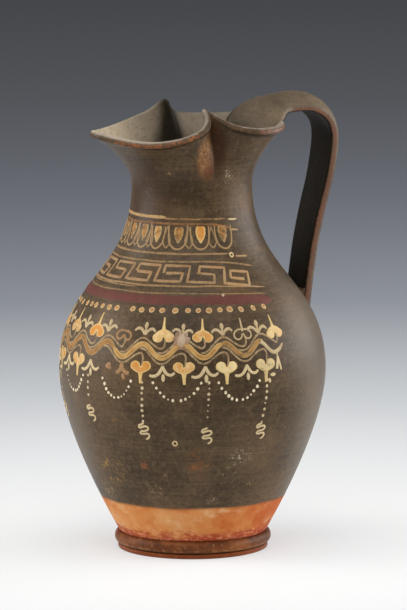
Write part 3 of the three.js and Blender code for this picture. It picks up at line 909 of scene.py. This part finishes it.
strap_shape = bmesh.new()
worn_layer = strap_shape.verts.layers.float.new("worn")
inside_layer = strap_shape.verts.layers.float.new("inside")
painted_shade_layer = strap_shape.verts.layers.float.new("kept")
loop_verts, loop_edges = [], []
for index in range(STRAP_STEPS + 1):
    s = index / STRAP_STEPS
    place, direction = strap_path(s)
    out = Vector((-direction.z, 0, direction.x))
    root = 1 - ease(s, 0.06, 0.16)
    half = (
        STRAP_HALF_WIDTH
        + (STRAP_ROOT_HALF_WIDTH - STRAP_HALF_WIDTH) * root
        + (STRAP_FOOT_HALF_WIDTH - STRAP_HALF_WIDTH) * ease(s, 0.3, 0.85)
    )
    smear = ease(s, -0.03, 0.05)
    edge = STRAP_ARCH_EDGE + (STRAP_EDGE - STRAP_ARCH_EDGE) * ease(s, 0.2, 0.4)
    sag = root * (STRAP_ROOT_SAG * (1 - ease(s, 0.05, 0.11)) + STRAP_ROOT_TUCK * (1 - ease(s, 0, 0.07)))
    droop = STRAP_DROOP * ease(s, 0.08, 0.19) * (1 - ease(s, 0.22, 0.42))
    swell = STRAP_ROOT_SWELL * ease(s, -0.03, 0.07) * (1 - ease(s, 0.09, 0.3))
    section = strap_section(half, edge * (0.35 + 0.65 * smear), STRAP_CROWN * (0.4 + 0.6 * smear))
    ring = []
    for aside, lift in section:
        bent = sag * aside * aside - droop * (aside / half) ** 2
        swollen = ease(lift, 0.8, 2.2) * swell * ((1 + aside / half) / 2) ** 1.5
        ring.append(place + out * (lift + bent + swollen) + Vector((0, aside, 0)))
    if index == 0:
        loop_verts = [strap_shape.verts.new(co) for co in ring]
        pairs = zip(loop_verts, loop_verts[1:] + loop_verts[:1])
        loop_edges = [strap_shape.edges.new(pair) for pair in pairs]
    else:
        pulled = bmesh.ops.extrude_edge_only(strap_shape, edges=loop_edges)["geom"]
        new_verts = [part for part in pulled if isinstance(part, bmesh.types.BMVert)]
        pulled_edges = [part for part in pulled if isinstance(part, bmesh.types.BMEdge)]
        loop_edges = [edge for edge in pulled_edges if all(v in new_verts for v in edge.verts)]
        followed = {}
        for vert in new_verts:
            old = next(e.other_vert(vert) for e in vert.link_edges if e.other_vert(vert) in loop_verts)
            followed[old] = vert
        loop_verts = [followed[v] for v in loop_verts]
    for vert, co, (aside, lift) in zip(loop_verts, ring, section):
        radius = math.hypot(co.x, co.y)
        buried = outer_radius(co.z) - WALL * 0.6 if co.z < NECK_HEIGHT else 0
        if radius < buried:
            co = Vector((co.x * buried / radius, co.y * buried / radius, co.z))
        vert.co = co
        # Worn along both edges, paler and greyer on its outer face, most along the arch, and with
        # painted shade on its inner face, low on the root and along the root's far edge, where the
        # handle lies in shadow.
        vert[worn_layer] = max(0, 1 - (half - abs(aside)) / EDGE_WEAR) * (0.96 - 0.7 * root)
        vert[inside_layer] = (0.38 - 0.18 * ease(s, 0.25, 0.5)) * ease(lift, 0.4, 1.2)
        shaded = 0.3 * (1 - ease(s, 0.04, 0.1)) + 0.8 * root * ease(aside, half - 3.5, half - 0.8)
        vert[painted_shade_layer] = max(1 - ease(lift, 0.6, 1.3), min(1, shaded))
bmesh.ops.holes_fill(strap_shape, edges=[e for e in strap_shape.edges if e.is_boundary])
bmesh.ops.recalc_face_normals(strap_shape, faces=strap_shape.faces)
strap_gloss = black_gloss("brown_black_gloss_handle", rubbed=("#8A5E4C", "#6F4A38"))
settle(strap_shape, "pulled_strap_handle", strap_gloss, node="strap_handle", sharp=55)

# Lutings
# Soft clay, pressed and smoothed into the angles between handle, lip and shoulder to hold the strap.
# It was brushed over with the same gloss as the handle.
for node_name in ("lower_handle_luting", "upper_handle_luting"):
    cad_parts[node_name].material_slots[0].material = strap_gloss


# Painted bands
# After glossing, bands were laid on with a brush in thick clay slips: cream, orange yellow and a dull
# red. They stand a little proud, and they are worn thin in places. They cover the half of the jug
# away from the handle, and each is drawn flat in millimetres and then laid round the wall.
PAINT_THICKNESS = 0.26
PAINTED_FROM = -158  # degrees, to the right of the picture's front; the other end is at each band
DROOPS_FROM = 8  # degrees: past here the lines sink
HAND_WOBBLE = 0.35  # mm
dice = random.Random(11)


def slip_paint(name, cream, orange, rim=None, rim_lift=1.7):
    """Matt clay slip paint. Attribute tint runs from cream to orange, fade wears it thin, and body is
    how thickly it lies, in millimetres. A rim colour shows round a dab, out to where its body is
    rim_lift thick."""
    material, tree = new_material(name)
    vector = jug_vector(tree)
    tint, fade, body = (
        add_node("Attribute " + layer, tree=tree, out="Fac") for layer in ("tint", "fade", "body")
    )
    tone = add_node(PLUS, [tint, -0.65])
    tone = add_node(TIMES_PLUS, [grain(vector, 3.6, 5, 0.65), 1.3, tone])
    colour = stained(cream, orange, add_node(STEP, [tone, 0.1, 0.95]))
    if rim:
        lie = add_node(PLUS, [body, -0.6])
        lie = add_node(TIMES_PLUS, [grain(vector, 1.2, 4), 1.2, lie])
        colour = stained(colour, rim, add_node(STEP, [lie, 0.4 * rim_lift, rim_lift, 0.85, 0.0]))
    colour = stained(colour, "#6B5738", patches(vector, 1.4, 0.5, 0.75, 5, 0.7), 0.4)
    colour = stained(colour, GLOSS_BROWN, fade, 0.75)
    worn = add_node(TIMES_PLUS, [fade, 0.4, grain(vector, 2.2, 7, 0.7)])
    colour = stained(colour, GLOSS_BROWN, add_node(STEP, [worn, 0.62, 0.85]), 0.85)
    return finish_clay(material, colour, 0.66, grain(vector, 0.7, 4), 0.3, 0.12, 0.3)


def brushed(strokes, corners=False):
    """Brush strokes as one mesh of tubes. Each is a list of (x, y, half width) in millimetres."""
    curve = bpy.data.curves.new("strokes", "CURVE")
    curve.dimensions = "3D"
    curve.bevel_depth = 1
    curve.bevel_resolution = 1
    curve.resolution_u = 1 if corners else 3
    curve.use_fill_caps = True
    for stroke in strokes:
        if corners:
            stroke = [
                [p + (q - p) * share for p, q in zip(a, b)]
                for a, b in zip(stroke, stroke[1:])
                for share in spread(0, 1, 6)[:-1]
            ] + [stroke[-1]]
        spline = curve.splines.new("BEZIER")
        spline.bezier_points.add(len(stroke) - 1)
        for point, (x, y, half) in zip(spline.bezier_points, stroke):
            point.co = (x, y, 0)
            point.radius = half
            point.handle_left_type = point.handle_right_type = "VECTOR" if corners else "AUTO"
    brush = bpy.data.objects.new("strokes", curve)
    bpy.context.collection.objects.link(brush)
    mesh = bpy.data.meshes.new_from_object(brush)
    bpy.data.objects.remove(brush)
    bpy.data.curves.remove(curve)
    return mesh


def laid_on(name, coats, band_height, material, raised=0.0):
    """Lays coats of paint round the wall as one piece. A coat is a mesh, its tint and its fade.
    raised lifts them off the wall, in millimetres, to lie on other paint."""
    band_radius = outer_radius(band_height)
    shape = bmesh.new()
    tint_layer = shape.verts.layers.float.new("tint")
    fade_layer = shape.verts.layers.float.new("fade")
    body_layer = shape.verts.layers.float.new("body")
    for coat, tint, fade in coats:
        count = len(shape.verts)
        shape.from_mesh(coat)
        bpy.data.meshes.remove(coat)
        shape.verts.ensure_lookup_table()
        for vert in shape.verts[count:]:
            vert[tint_layer] = tint
            vert[fade_layer] = fade
    bmesh.ops.remove_doubles(shape, verts=shape.verts, dist=1e-4)
    for vert in shape.verts:
        x, height, lift = vert.co
        vert[body_layer] = max(0, lift)
        angle = math.radians(FRONT) + x / band_radius
        lift = raised + PAINT_THICKNESS * lift / (abs(lift) + 0.35)
        wall, slope = wall_at(height)
        lean = math.sqrt(1 + slope * slope)
        radius = wall + lift / lean
        vert.co = (radius * math.cos(angle), radius * math.sin(angle), height - lift * slope / lean)
    bmesh.ops.recalc_face_normals(shape, faces=shape.faces)
    return settle(shape, name, material)


def across(degrees, band_height):
    """Millimetres along a band for degrees to the right of the picture's front."""
    return math.radians(degrees) * outer_radius(band_height)


def placed(strokes, degrees, height, band_height, flip=1, size=1.0, sway=3.5):
    """A motif set at its place in the band, a little uneven as by hand."""
    lean = math.radians(dice.uniform(-sway, sway))
    size *= dice.uniform(0.95, 1.05)
    x0 = across(degrees, band_height)
    right, up = size * math.cos(lean), size * math.sin(lean)

    def moved(x, y, half):
        y *= flip
        return (x0 + x * right - y * up, height + x * up + y * right, half * size)

    return [[moved(*point) for point in stroke] for stroke in strokes]


def thin_ended(stroke, half):
    (x0, y0, _), *middle, (x1, y1, _) = stroke
    return [(x0, y0, half), *middle, (x1, y1, half)]


def ring_line(height, start, end, half, droop, every, band_height):
    """A line drawn round the turning jug, with a point every so many degrees. Past the front it sinks,
    where the brush was lifted: 40 degrees on, by droop in millimetres."""
    count = max(2, round((end - start) / every))
    stroke = []
    for degrees in spread(start, end, count):
        sunk = droop * (max(0, degrees - DROOPS_FROM) / 40) ** 2
        wobble = HAND_WOBBLE * noise.noise(Vector((degrees / 14, height, 0)))
        width = half * (1 + 0.3 * noise.noise(Vector((degrees / 6, height, 5))))
        stroke.append((across(degrees, band_height), height - sunk + wobble, width))
    return thin_ended(stroke, half * 0.3)


def lined(name, lines, band_height, material):
    """Lays lines round the jug as one piece. Each has its height, start, end, half width, droop,
    degrees for each point, tint and fade."""
    coats = [(brushed([ring_line(*line, band_height)]), tint, fade) for *line, tint, fade in lines]
    laid_on(name, coats, band_height, material)


def ringed(name, place, height, radius, half, band_height):
    """A small ring of cream slip, drawn in one round."""
    x = across(place, band_height)
    turns = [math.radians(degrees) for degrees in range(0, 361, 45)]
    ring = [(x + radius * math.cos(a), height + radius * math.sin(a), half) for a in turns]
    laid_on(name, [(brushed([ring]), 0.1, 0.0)], band_height, cream_paint)


def dab(x, y, long, wide, lean=0.0):
    """One press of the brush: an oval, long and wide as half sizes, leaning by degrees."""
    a = math.radians(lean)
    return [
        (
            x + long * k * -math.sin(a),
            y + long * k * math.cos(a),
            max(0.15, wide * math.sqrt(max(0.02, 1 - (k * 0.98) ** 2))),
        )
        for k in (-1, -0.75, -0.35, 0, 0.35, 0.75, 1)
    ]


# The slips are matt and a little grainy. The cream ones are thin enough for the gloss to show through,
# the orange yellow one is thick, with a paler rim where it ran out, and the red one is flat and dull.
line_paint = slip_paint("thin_cream_slip_paint", "#AA8A5E", "#A8713E")
cream_paint = slip_paint("cream_slip_paint", "#D0B384", "#C8955A")
grey_paint = slip_paint("greyish_cream_slip_paint", "#CFB88C", "#AE8458")
orange_paint = slip_paint("orange_yellow_slip_paint", "#E6CD96", "#CE8A3A", rim="#DDBD7C")
red_paint = slip_paint("dull_red_slip_paint", "#5C2A22", "#723630")

# Lines round the shoulder
# Single lines of cream slip that part the bands, laid with a fine brush while the jug turned: one
# strong line under the neck, the rest thin and worn.
NECK_LINE = 176.8
SHOULDER_BAND = 160
LINES_MIDDLE = 142
neck_lines = [
    (NECK_LINE, PAINTED_FROM, -24, 0.8, 0, 5, 0.6, 0.3),
    (NECK_LINE - 0.7, -27, 32, 0.42, 0.4, 5, 0.8, 0.55),
    (NECK_LINE - 1.2, 34, 44, 0.5, 0.3, 2, 0.0, 0.0),
]
shoulder_lines = [
    (173.6, PAINTED_FROM, 36, 0.58, 5.4, 5, 1.0, 0.5),
    (170.9, 34, 44, 0.42, 1.4, 2, 0.1, 0.0),
    (159, PAINTED_FROM, 29, 0.5, 1.4, 5, 0.3, 0.35),
    (157.9, 34, 45, 0.45, 1.4, 2, -0.4, 0.0),
    (155.2, PAINTED_FROM, 47, 0.42, 3.8, 5, 0.3, 0.4),
]
meander_lines = [
    (143.8, PAINTED_FROM, 47, 0.4, 2.6, 5, 0.3, 0.3),
    (142.9, PAINTED_FROM, -35, 0.3, 0, 5, 0.3, 0.4),
    (140.3, PAINTED_FROM, 46, 0.3, 2.0, 5, 0.4, 0.45),
]
lined("cream_neck_line", neck_lines, NECK_LINE, cream_paint)
lined("shoulder_lines", shoulder_lines, SHOULDER_BAND, line_paint)
lined("meander_lines", meander_lines, LINES_MIDDLE, line_paint)

# Ovolo
# Egg and dart: cream outlined eggs, each with an orange yellow core, and a dart between each two. A
# small ring ends it.
OVOLO_FOOT = 161.2
OVOLO_MIDDLE = 167
TIGHT_BEFORE = -20  # degrees: to the left of this the eggs stand closer
EGG_PLACES = [-144, -127, -110, -93.5, -77, -60.5, -45, -30.5, -11.8, 7, 27.4]
EGG = [(-4.9, 11.6, 0.35), (-4.7, 6, 0.42), (-3.4, 2, 0.42), (0, 0, 0.45)]
EGG += [(-x, y, half) for x, y, half in reversed(EGG[:-1])]
EGG_CORE = [(0, 11.2, 1.9), (0, 10.4, 2.5), (0, 8, 2.6), (0, 5.6, 1.9), (0, 3.6, 0.7), (0, 3, 0.3)]
DART_SIDE = [(0, 11.4, 0.3), (1.3, 7, 0.32), (1.9, 3.2, 0.35), (0, 0.4, 0.38)]
DART = [[(side * x, y, half) for x, y, half in DART_SIDE] for side in (-1, 1)]
EGG_TONES = [(0.8, 0.5)] * 7 + [(0.75, 0.4), (0.9, 0.45), (0.85, 0.0), (0.75, 0.6)]
eggs, darts, core_coats = [], [], []
for here, after, (tint, fade) in zip(EGG_PLACES, EGG_PLACES[1:] + [None], EGG_TONES):
    tight = 0.84 if here < TIGHT_BEFORE else 1.0
    outline = [[(x * tight, y, half) for x, y, half in EGG]]
    core = [[(x, y, half * tight) for x, y, half in EGG_CORE]]
    eggs += placed(outline, here, OVOLO_FOOT, OVOLO_MIDDLE, sway=1.5)
    core_coats.append((brushed(placed(core, here, OVOLO_FOOT, OVOLO_MIDDLE, sway=1.5)), tint, fade))
    if after:
        darts += placed(DART, (here + after) / 2, OVOLO_FOOT, OVOLO_MIDDLE)
outlines = [(brushed(eggs), 0.25, 0.12), (brushed(darts), 0.2, 0.3)]
laid_on("ovolo_outlines", outlines, OVOLO_MIDDLE, line_paint)
laid_on("ovolo_cores", core_coats, OVOLO_MIDDLE, orange_paint)
ringed("ovolo_end_ring", 31, 158, 0.95, 0.38, SHOULDER_BAND)

# Meander
# A running key in tan slip, drawn in straight strokes with a fine brush from left to right. It sinks
# and closes on itself at its end.
KEY_TOP = 153.3
KEY_MIDDLE = 149.8
KEY_FOOT = 146
KEY_PLACES = [-149, -127, -105, -83, -61, -39.3, -18.4, 5.2]
KEY_END = 27.6
KEY_HALF = 0.64
KEY_SINK = 3.1  # how far the band has sunk at its end, where the hand dropped
KEY_PITCH = across(22.3, KEY_MIDDLE)


def key_point(x, y):
    sunk = KEY_SINK * (max(0, x - 3) / 27) ** 1.3
    half = KEY_HALF * dice.uniform(0.85, 1.15)
    return (x + dice.uniform(-0.25, 0.25), y - sunk + dice.uniform(-0.2, 0.2), half)


key_strokes = []
for start in KEY_PLACES:
    x = across(start, KEY_MIDDLE)
    following = x + KEY_PITCH
    key_strokes.append(
        [
            key_point(x - 0.6, KEY_MIDDLE),
            key_point(x, KEY_TOP),
            key_point(x + 13.2, KEY_TOP),
            key_point(x + 11.7, KEY_FOOT),
            key_point(following + 7.4, KEY_FOOT),
            key_point(following + 8.4, KEY_MIDDLE),
            key_point(following - 0.4, KEY_MIDDLE),
        ]
    )
end_x = across(KEY_END, KEY_MIDDLE)
key_strokes[-1][4:] = [
    key_point(end_x + 7, KEY_FOOT),
    key_point(end_x + 8.8, KEY_TOP - 0.8),
    key_point(end_x - 1.2, KEY_TOP - 1.2),
    key_point(end_x - 1.6, KEY_MIDDLE - 0.6),
    key_point(end_x + 5.6, KEY_MIDDLE - 1),
]
key_coats = [
    (brushed([stroke], corners=True), 0.4, 0.3 if stroke[0][0] < across(0, KEY_MIDDLE) else 0.12)
    for stroke in key_strokes
]
key_paint = slip_paint("tan_slip_paint", "#B3946A", "#AE743E")
laid_on("meander", key_coats, KEY_MIDDLE, key_paint)

# Red band
# A broad stripe of dull red slip, laid with a full brush while the jug turned slowly on the wheel. It
# is thin and lies flat on the gloss.
RED_BAND = 137.3
lined("dull_red_band", [(RED_BAND, PAINTED_FROM, 47, 2.1, 2.0, 3, 0.5, 0.26)], RED_BAND, red_paint)

# Row of dots
# Dots of tan slip, each pressed with a loaded brush, so that the slip ran out into a pale rim round a
# darker heart.
DOT_ROW = 132.6
DOT_PLACES = [-75.3 - 6 * k for k in range(13, 0, -1)] + [
    -75.3, -68.5, -63.3, -58.5, -52.5, -47.1, -41.7, -31.9, -26.4, -21.1, -15.5, -8.8, -2.2, 3.1,
    8.5, 14.2, 19.5, 25.6, 32.6, 39.6,
]
dots = []
for place in DOT_PLACES:
    x = across(place, DOT_ROW) + dice.uniform(-0.2, 0.2)
    y = DOT_ROW - 0.02 * max(0, -place - 12) + dice.uniform(-0.2, 0.2)
    size = dice.uniform(0.85, 1.05)
    lean = 90 if place < 24 else 50
    dots.append(dab(x, y, 1.6 * size, 1.3 * size, lean + dice.uniform(-15, 15)))
dot_paint = slip_paint("rimmed_slip_paint", "#B98A52", "#9C6233", rim="#DDC08E", rim_lift=0.95)
laid_on("dot_row", [(brushed(dots), 0.35, 0.08)], DOT_ROW, dot_paint)

# Ivy vine
# A thick wavy stem. Along each side of it run thin stems, each of which turns off into the notch of an
# ivy leaf: leaves hang from the crests and stand in the troughs, with small sprigs between them.
VINE = 113.2
VINE_HEIGHT = 3.4
VINE_PITCH = 18.3  # degrees from crest to crest
VINE_CREST = -4.2
VINE_END = 33
LOWER_LEAF_HEIGHT = 104.9
UPPER_LEAF_HEIGHT = 120
LOWER_SPRIG_HEIGHT = 104.7
UPPER_SPRIG_HEIGHT = 121.4


def vine(degrees):
    rise = 0.02 * max(-35, degrees)
    return VINE + rise + VINE_HEIGHT * math.cos(2 * math.pi * (degrees - VINE_CREST) / VINE_PITCH)


def vine_stem(start, end, half):
    stroke = []
    for degrees in spread(start, end, round((end - start) / 2.3)):
        width = half * (1 + 0.25 * noise.noise(Vector((degrees / 5, 0, 1))))
        stroke.append((across(degrees, VINE), vine(degrees), width))
    return thin_ended(stroke, half * 0.4)


def side_stem(leaf, side, half=0.5):
    """A thin stem along the thick one, which turns off into the notch of a leaf. side is 1 above."""
    run = [(-20, 1.7), (-17.5, 2.5), (-14, 2.9), (-10.5, 3), (-8, 3), (-5.5, 3.2), (-3.4, 3.9)]
    run += [(-1.8, 4.4)]
    stroke = [(across(leaf + turn, VINE), vine(leaf + turn) + side * gap, half) for turn, gap in run]
    notch = (UPPER_LEAF_HEIGHT if side > 0 else LOWER_LEAF_HEIGHT) - side * 0.6
    turned_off = vine(leaf) + side * 4.3
    stroke += [
        (across(leaf - 0.3, VINE), turned_off + side * 0.3, half),
        (across(leaf + 0.7, VINE), turned_off + side * 1.5, half),
        (across(leaf + 0.9, VINE), (turned_off + side * 1.5 + notch) / 2, half * 0.9),
        (across(leaf + 0.5, VINE), notch, half * 0.8),
    ]
    return [(x + dice.uniform(-0.15, 0.15), y + dice.uniform(-0.1, 0.1), h) for x, y, h in stroke]


def leaf(lobe_tall, tip_half):
    """An ivy leaf that hangs tip down: two round lobes side by side and a long thin tip."""
    return [
        dab(-3, 0.4, lobe_tall, 2.7, 12),
        dab(3, 0.4, lobe_tall, 2.7, -12),
        [(-3.4, -0.5, 1.7), (-1.6, -1.3, 1.8), (0, -1.7, 1.9), (1.6, -1.3, 1.8), (3.4, -0.5, 1.7)],
        [(0, -2, 1.7), (0, -3.4, tip_half + 0.5), (0, -5.4, tip_half + 0.1), (0, -8.9, tip_half * 0.8)],
    ]


LOWER_LEAF = leaf(2.5, 0.8)
UPPER_LEAF = leaf(2.2, 0.5)
LEFT_LOBE = [(0, -2.4, 0.4), (-3, -2.4, 0.42), (-5.3, 0, 0.42), (-3.8, 2.2, 0.42)]
RIGHT_LOBE = [(0, -2.4, 0.4), (3, -2.2, 0.42), (4.8, 0, 0.42), (3.5, 2.1, 0.42)]
LEAF_OUTLINE = [
    LEFT_LOBE + [(-1.3, 1.6, 0.4), (-0.4, -0.4, 0.35)],
    RIGHT_LOBE + [(1.2, 1.6, 0.4), (0.3, -0.6, 0.35)],
    [(0, -1.5, 0.6), (0, -3.4, 0.55), (0, -5.6, 0.5), (0, -8, 0.35)],
]
SPRIG_UP = [
    [(0, -0.7, 0.7), (-1.3, 0.9, 0.75), (-2.6, 1.9, 0.7), (-4.6, 2.1, 0.7), (-6.1, 0.9, 0.55)],
    [(0, -0.7, 0.7), (1.2, 0.9, 0.75), (2.5, 1.9, 0.7), (4.2, 2.1, 0.7), (5.6, 0.9, 0.55)],
    [(0, 2.6, 0.6), (0, 1.4, 0.5), (0, 0, 0.6)],
    dab(0, 3.7, 1.6, 1.1),
]
SPRIG_DOWN = [
    [(0.2, 0.9, 0.6), (-1, -1.7, 0.9), (-2.8, -3.8, 0.8), (-4.8, -4.5, 0.8), (-7, -4.1, 0.65)],
    [(0.2, 0.9, 0.6), (1.2, -1.7, 0.85), (2.9, -3.6, 0.75), (4.8, -3.9, 0.75), (6.5, -2.7, 0.6)],
    dab(0.4, -5.4, 2.1, 0.95),
]
# place, tint and fade of the leaves: those in sight from left to right, then those out of sight
LOWER_LEAVES = [(-93, 0.5, 0.2), (-76.8, 0.6, 0.2), (-58.5, 0.6, 0.1), (-22.6, 0.85, 0.0)]
LOWER_LEAVES += [(-3.6, 0.6, 0.0), (14.7, 0.05, 0.0), (33, -0.1, 0.3)]
LOWER_LEAVES += [(-113.4, 0.6, 0.2), (-131.7, 0.5, 0.2), (-150, 0.7, 0.3)]
UPPER_LEAVES = [(-104.2, 0.6, 0.2), (-86, 0.7, 0.2), (-67.7, 0.6, 0.25), (-49.4, 1.0, 0.0)]
UPPER_LEAVES += [(-13.2, 0.45, 0.0), (4.7, 0.7, 0.0), (40.6, 0.4, 0.1)]
UPPER_LEAVES += [(-122.5, 0.6, 0.2), (-140.8, 0.7, 0.3)]
OUTLINED_LEAF = 23.7
WORN_LEAVES = [-40.2, -32.5]
leaf_coats = [
    (brushed(placed(shape, place, height, VINE, flip=flip)), tint, fade)
    for shape, leaves, height, flip in (
        (LOWER_LEAF, LOWER_LEAVES, LOWER_LEAF_HEIGHT, 1),
        (UPPER_LEAF, UPPER_LEAVES, UPPER_LEAF_HEIGHT, -1),
    )
    for place, tint, fade in leaves
]
laid_on("ivy_leaves", leaf_coats, VINE, orange_paint)
outlined = brushed(placed(LEAF_OUTLINE, OUTLINED_LEAF, UPPER_LEAF_HEIGHT + 0.6, VINE, flip=-1))
worn_x = across(WORN_LEAVES[0] + 1.6, VINE)
worn_lower = brushed([[(worn_x + 0.5, 105.6, 0.8), (worn_x, 103.6, 1.9), (worn_x - 0.3, 102.6, 1.7)]])
worn_upper = placed(LEAF_OUTLINE[:2], WORN_LEAVES[1], UPPER_LEAF_HEIGHT - 0.4, VINE, flip=-1, size=0.85)
worn_upper = [[(x, y, half * 1.7) for x, y, half in stroke] for stroke in worn_upper]
worn_coats = [(outlined, 0.3, 0.2), (worn_lower, 0.9, 0.3), (brushed(worn_upper), 1.0, 0.3)]
laid_on("worn_ivy_leaves", worn_coats, VINE, grey_paint)
stem_paint = slip_paint("ochre_slip_paint", "#CDA866", "#BD8440", rim="#D2B478", rim_lift=0.7)
stem_coats = [
    (brushed([vine_stem(PAINTED_FROM, -36, 1.4)]), 1.0, 0.4),
    (brushed([vine_stem(-37.5, 14, 1.3)]), 0.55, 0.12),
    (brushed([vine_stem(12.5, VINE_END, 1.2)]), 0.6, 0.42),
]
laid_on("vine_stem", stem_coats, VINE, stem_paint)
streaks = []
for start in range(PAINTED_FROM + 1, VINE_END - 8, 7):
    for side in (-0.5, 0.35):
        run = vine_stem(start + dice.uniform(0, 4), start + dice.uniform(6, 9), 0.18)
        streaks.append([(x, y + side, half) for x, y, half in run])
streak_paint = slip_paint("brown_stem_streaks", "#8A673A", "#7A5229")
laid_on("vine_stem_streaks", [(brushed(streaks), 0.4, 0.1)], VINE, streak_paint, raised=0.13)
stemmed = [(leaf[0], 1) for leaf in UPPER_LEAVES] + [(OUTLINED_LEAF, 1), (WORN_LEAVES[1], 1)]
stemmed += [(leaf[0], -1) for leaf in LOWER_LEAVES]
side_stems = [side_stem(place, side) for place, side in stemmed]
VINE_TAIL = [(31.6, 116.6, 1.1), (33.4, 115.2, 0.95), (35.2, 112.9, 0.9), (37.6, 110.7, 1.0)]
VINE_TAIL += [(40.4, 111.2, 1.0), (43.7, 114.3, 0.5)]
vine_tail = [(across(turn, VINE), height, half) for turn, height, half in VINE_TAIL]
side_coats = [(brushed(side_stems), 0.55, 0.42), (brushed([vine_tail]), 0.3, 0.25)]
laid_on("vine_side_stems", side_coats, VINE, grey_paint)

LOWER_SPRIGS = [-140, -121, -102, -85, -67.6, -49.5, -12.9, 5.4, 23.7]
WORN_SPRIG = [
    dab(-0.6, -0.6, 1.9, 1.3),
    [(-0.6, -1.4, 0.9), (-2.4, -3.6, 1.0), (-3.6, -4.2, 0.8)],
    [(-0.2, -1.6, 0.9), (2.2, -3.4, 1.1), (4.0, -3.6, 0.9)],
    dab(0.8, -5.6, 1.7, 1.0, 20),
]
UPPER_SPRIGS = [-131, -113, -95, -77, -58.5, -42, -22, -4.3, 14, 31.6]
sprigs, upper_sprigs = [], []
for place in LOWER_SPRIGS:
    sprigs += placed(SPRIG_DOWN, place, LOWER_SPRIG_HEIGHT, VINE, size=0.98)
for place in UPPER_SPRIGS:
    upper_sprigs += placed(SPRIG_UP, place, UPPER_SPRIG_HEIGHT, VINE)
END_SPRIG = [[(0.4, 3.4, 0.35), (0, 0, 0.7), (-1.2, -4.4, 0.8)], [(0.4, 1.5, 0.6), (1.6, -5.2, 0.5)]]
sprigs += placed(END_SPRIG, 39.5, 106.5, VINE)
sprigs += [dab(across(36.4, VINE), 99.4, 0.9, 1.6), dab(across(34.6, VINE), 96.6, 1.3, 0.8, 20)]
worn_sprig = brushed(placed(WORN_SPRIG, -31.2, LOWER_SPRIG_HEIGHT, VINE))
sprig_coats = [(brushed(sprigs), -0.1, 0.0), (brushed(upper_sprigs), 0.3, 0.2), (worn_sprig, 1.0, 0.25)]
laid_on("sprigs", sprig_coats, VINE, grey_paint)

# Rosette on the vine
# A round flower of pale pinkish slip, dabbed petal by petal round a broad heart and half worn away. A
# drop of the same slip fell on the red band.
ROSETTE_PLACE = -4.9
ROSETTE_HEIGHT = 118.4
PETALS_OUT = 3.1
rosette_x = across(ROSETTE_PLACE, VINE)
petals = []
for lean in range(0, 360, 40):
    a = math.radians(lean)
    x, y = rosette_x - PETALS_OUT * math.sin(a), ROSETTE_HEIGHT + PETALS_OUT * math.cos(a)
    petals.append(dab(x, y, 1.8, 1.25, lean))
heart = [dab(rosette_x, ROSETTE_HEIGHT, 3.4, 3.3)]
spilt_drop = [dab(across(17.5, VINE), RED_BAND + 2.1, 0.8, 1.0, 20)]  # on the red band
rosette_paint = slip_paint("pinkish_slip_paint", "#C2AA8E", "#91684C")
rosette_coats = [(brushed(petals), 0.6, 0.2), (brushed(heart + spilt_drop), 0.35, 0.04)]
laid_on("rosette", rosette_coats, VINE, rosette_paint)

# Bead garlands
# Beads of thick cream slip, set down with the brush tip in swags and in hanging strings. Each string
# ends in a tassel, drawn in one zigzag stroke.
BEAD_BAND = 88
BEAD_HALF = 0.78


def beads(places):
    """Small flattened domes of slip at (x, y) in millimetres."""
    shape = bmesh.new()
    for x, y in places:
        size = dice.choice((0.6, 0.9, 1, 1.15)) * BEAD_HALF
        tall = dice.uniform(0.95, 1.3)
        at = Matrix.Translation((x + dice.uniform(-0.2, 0.2), y + dice.uniform(-0.2, 0.2), 0))
        bmesh.ops.create_uvsphere(
            shape,
            u_segments=8,
            v_segments=5,
            radius=1,
            matrix=at @ Matrix.Diagonal((size, size * tall, size * 0.5, 1)),
        )
    mesh = bpy.data.meshes.new("beads")
    shape.to_mesh(mesh)
    shape.free()
    return mesh


def swag(middle, half_turn, top, foot, count):
    x0 = across(middle, BEAD_BAND)
    half = across(half_turn, BEAD_BAND)
    shares = [math.copysign(abs(k) ** 0.78, k) for k in spread(-1, 1, count)]
    return [(x0 + half * k, foot + (top - foot) * abs(k) ** 2.2) for k in shares]


SWAGS = [(-117, 9.5), (-89.5, 9.5), (-61.5, 7.5), (-34.2, 7.3), (-6.6, 10.2), (20.4, 9.2)]
swag_beads = []
for middle, half_turn in SWAGS:
    swag_beads += swag(middle, half_turn, 97, 87.8, 11)
# place, height of the last bead, height of the tassel, millimetres that the string drifts aside
STRINGS = [(-106, 80, 78, 0), (-78.5, 81, 79, 0), (-50.5, 88, 81.6, 0), (-21.6, 76.4, 75, -0.6)]
STRINGS += [(7.1, 80, 73.2, -0.8), (33.4, 75.8, 74.2, -1.6)]
string_beads = []
for place, foot, tassel, drift in STRINGS:
    x = across(place, BEAD_BAND)
    rows = spread(97.6, foot, round((97.6 - foot) / 3))
    string_beads += [(x + drift * (98 - z) / 22, z - dice.uniform(0, 0.7)) for z in rows]
bead_paint = slip_paint("pale_cream_slip_paint", "#E6D5B2", "#C9A475")
bead_coats = [(beads(swag_beads), 0.0, 0.0), (beads(string_beads), 0.5, 0.2)]
laid_on("garland_beads", bead_coats, BEAD_BAND, bead_paint)
TASSEL = [(0.2, 0.3, 0.5), (-2.7, -1.7, 0.6), (0.6, -1.2, 0.55), (2.4, -2, 0.5), (1.4, -3.4, 0.5)]
TASSEL += [(-2.3, -4.6, 0.5), (-1.2, -5.2, 0.5), (2.2, -5.2, 0.5), (2.3, -6.8, 0.55), (0.6, -8, 0.4)]
tassels = []
for place, foot, tassel, drift in STRINGS:
    moved = [[(x + drift, y, half) for x, y, half in TASSEL]]
    tassels += placed(moved, place, tassel, BEAD_BAND, sway=2)
laid_on("tassels", [(brushed(tassels), -0.2, 0.0)], BEAD_BAND, grey_paint)

# Ring mark low on the belly
# A small ring of thin cream slip, left where the end of a reed or a brush touched the wall, well
# below the painted bands.
MARK_HEIGHT = 65
ringed("ring_mark", -8.1, MARK_HEIGHT, 1.15, 0.36, MARK_HEIGHT)
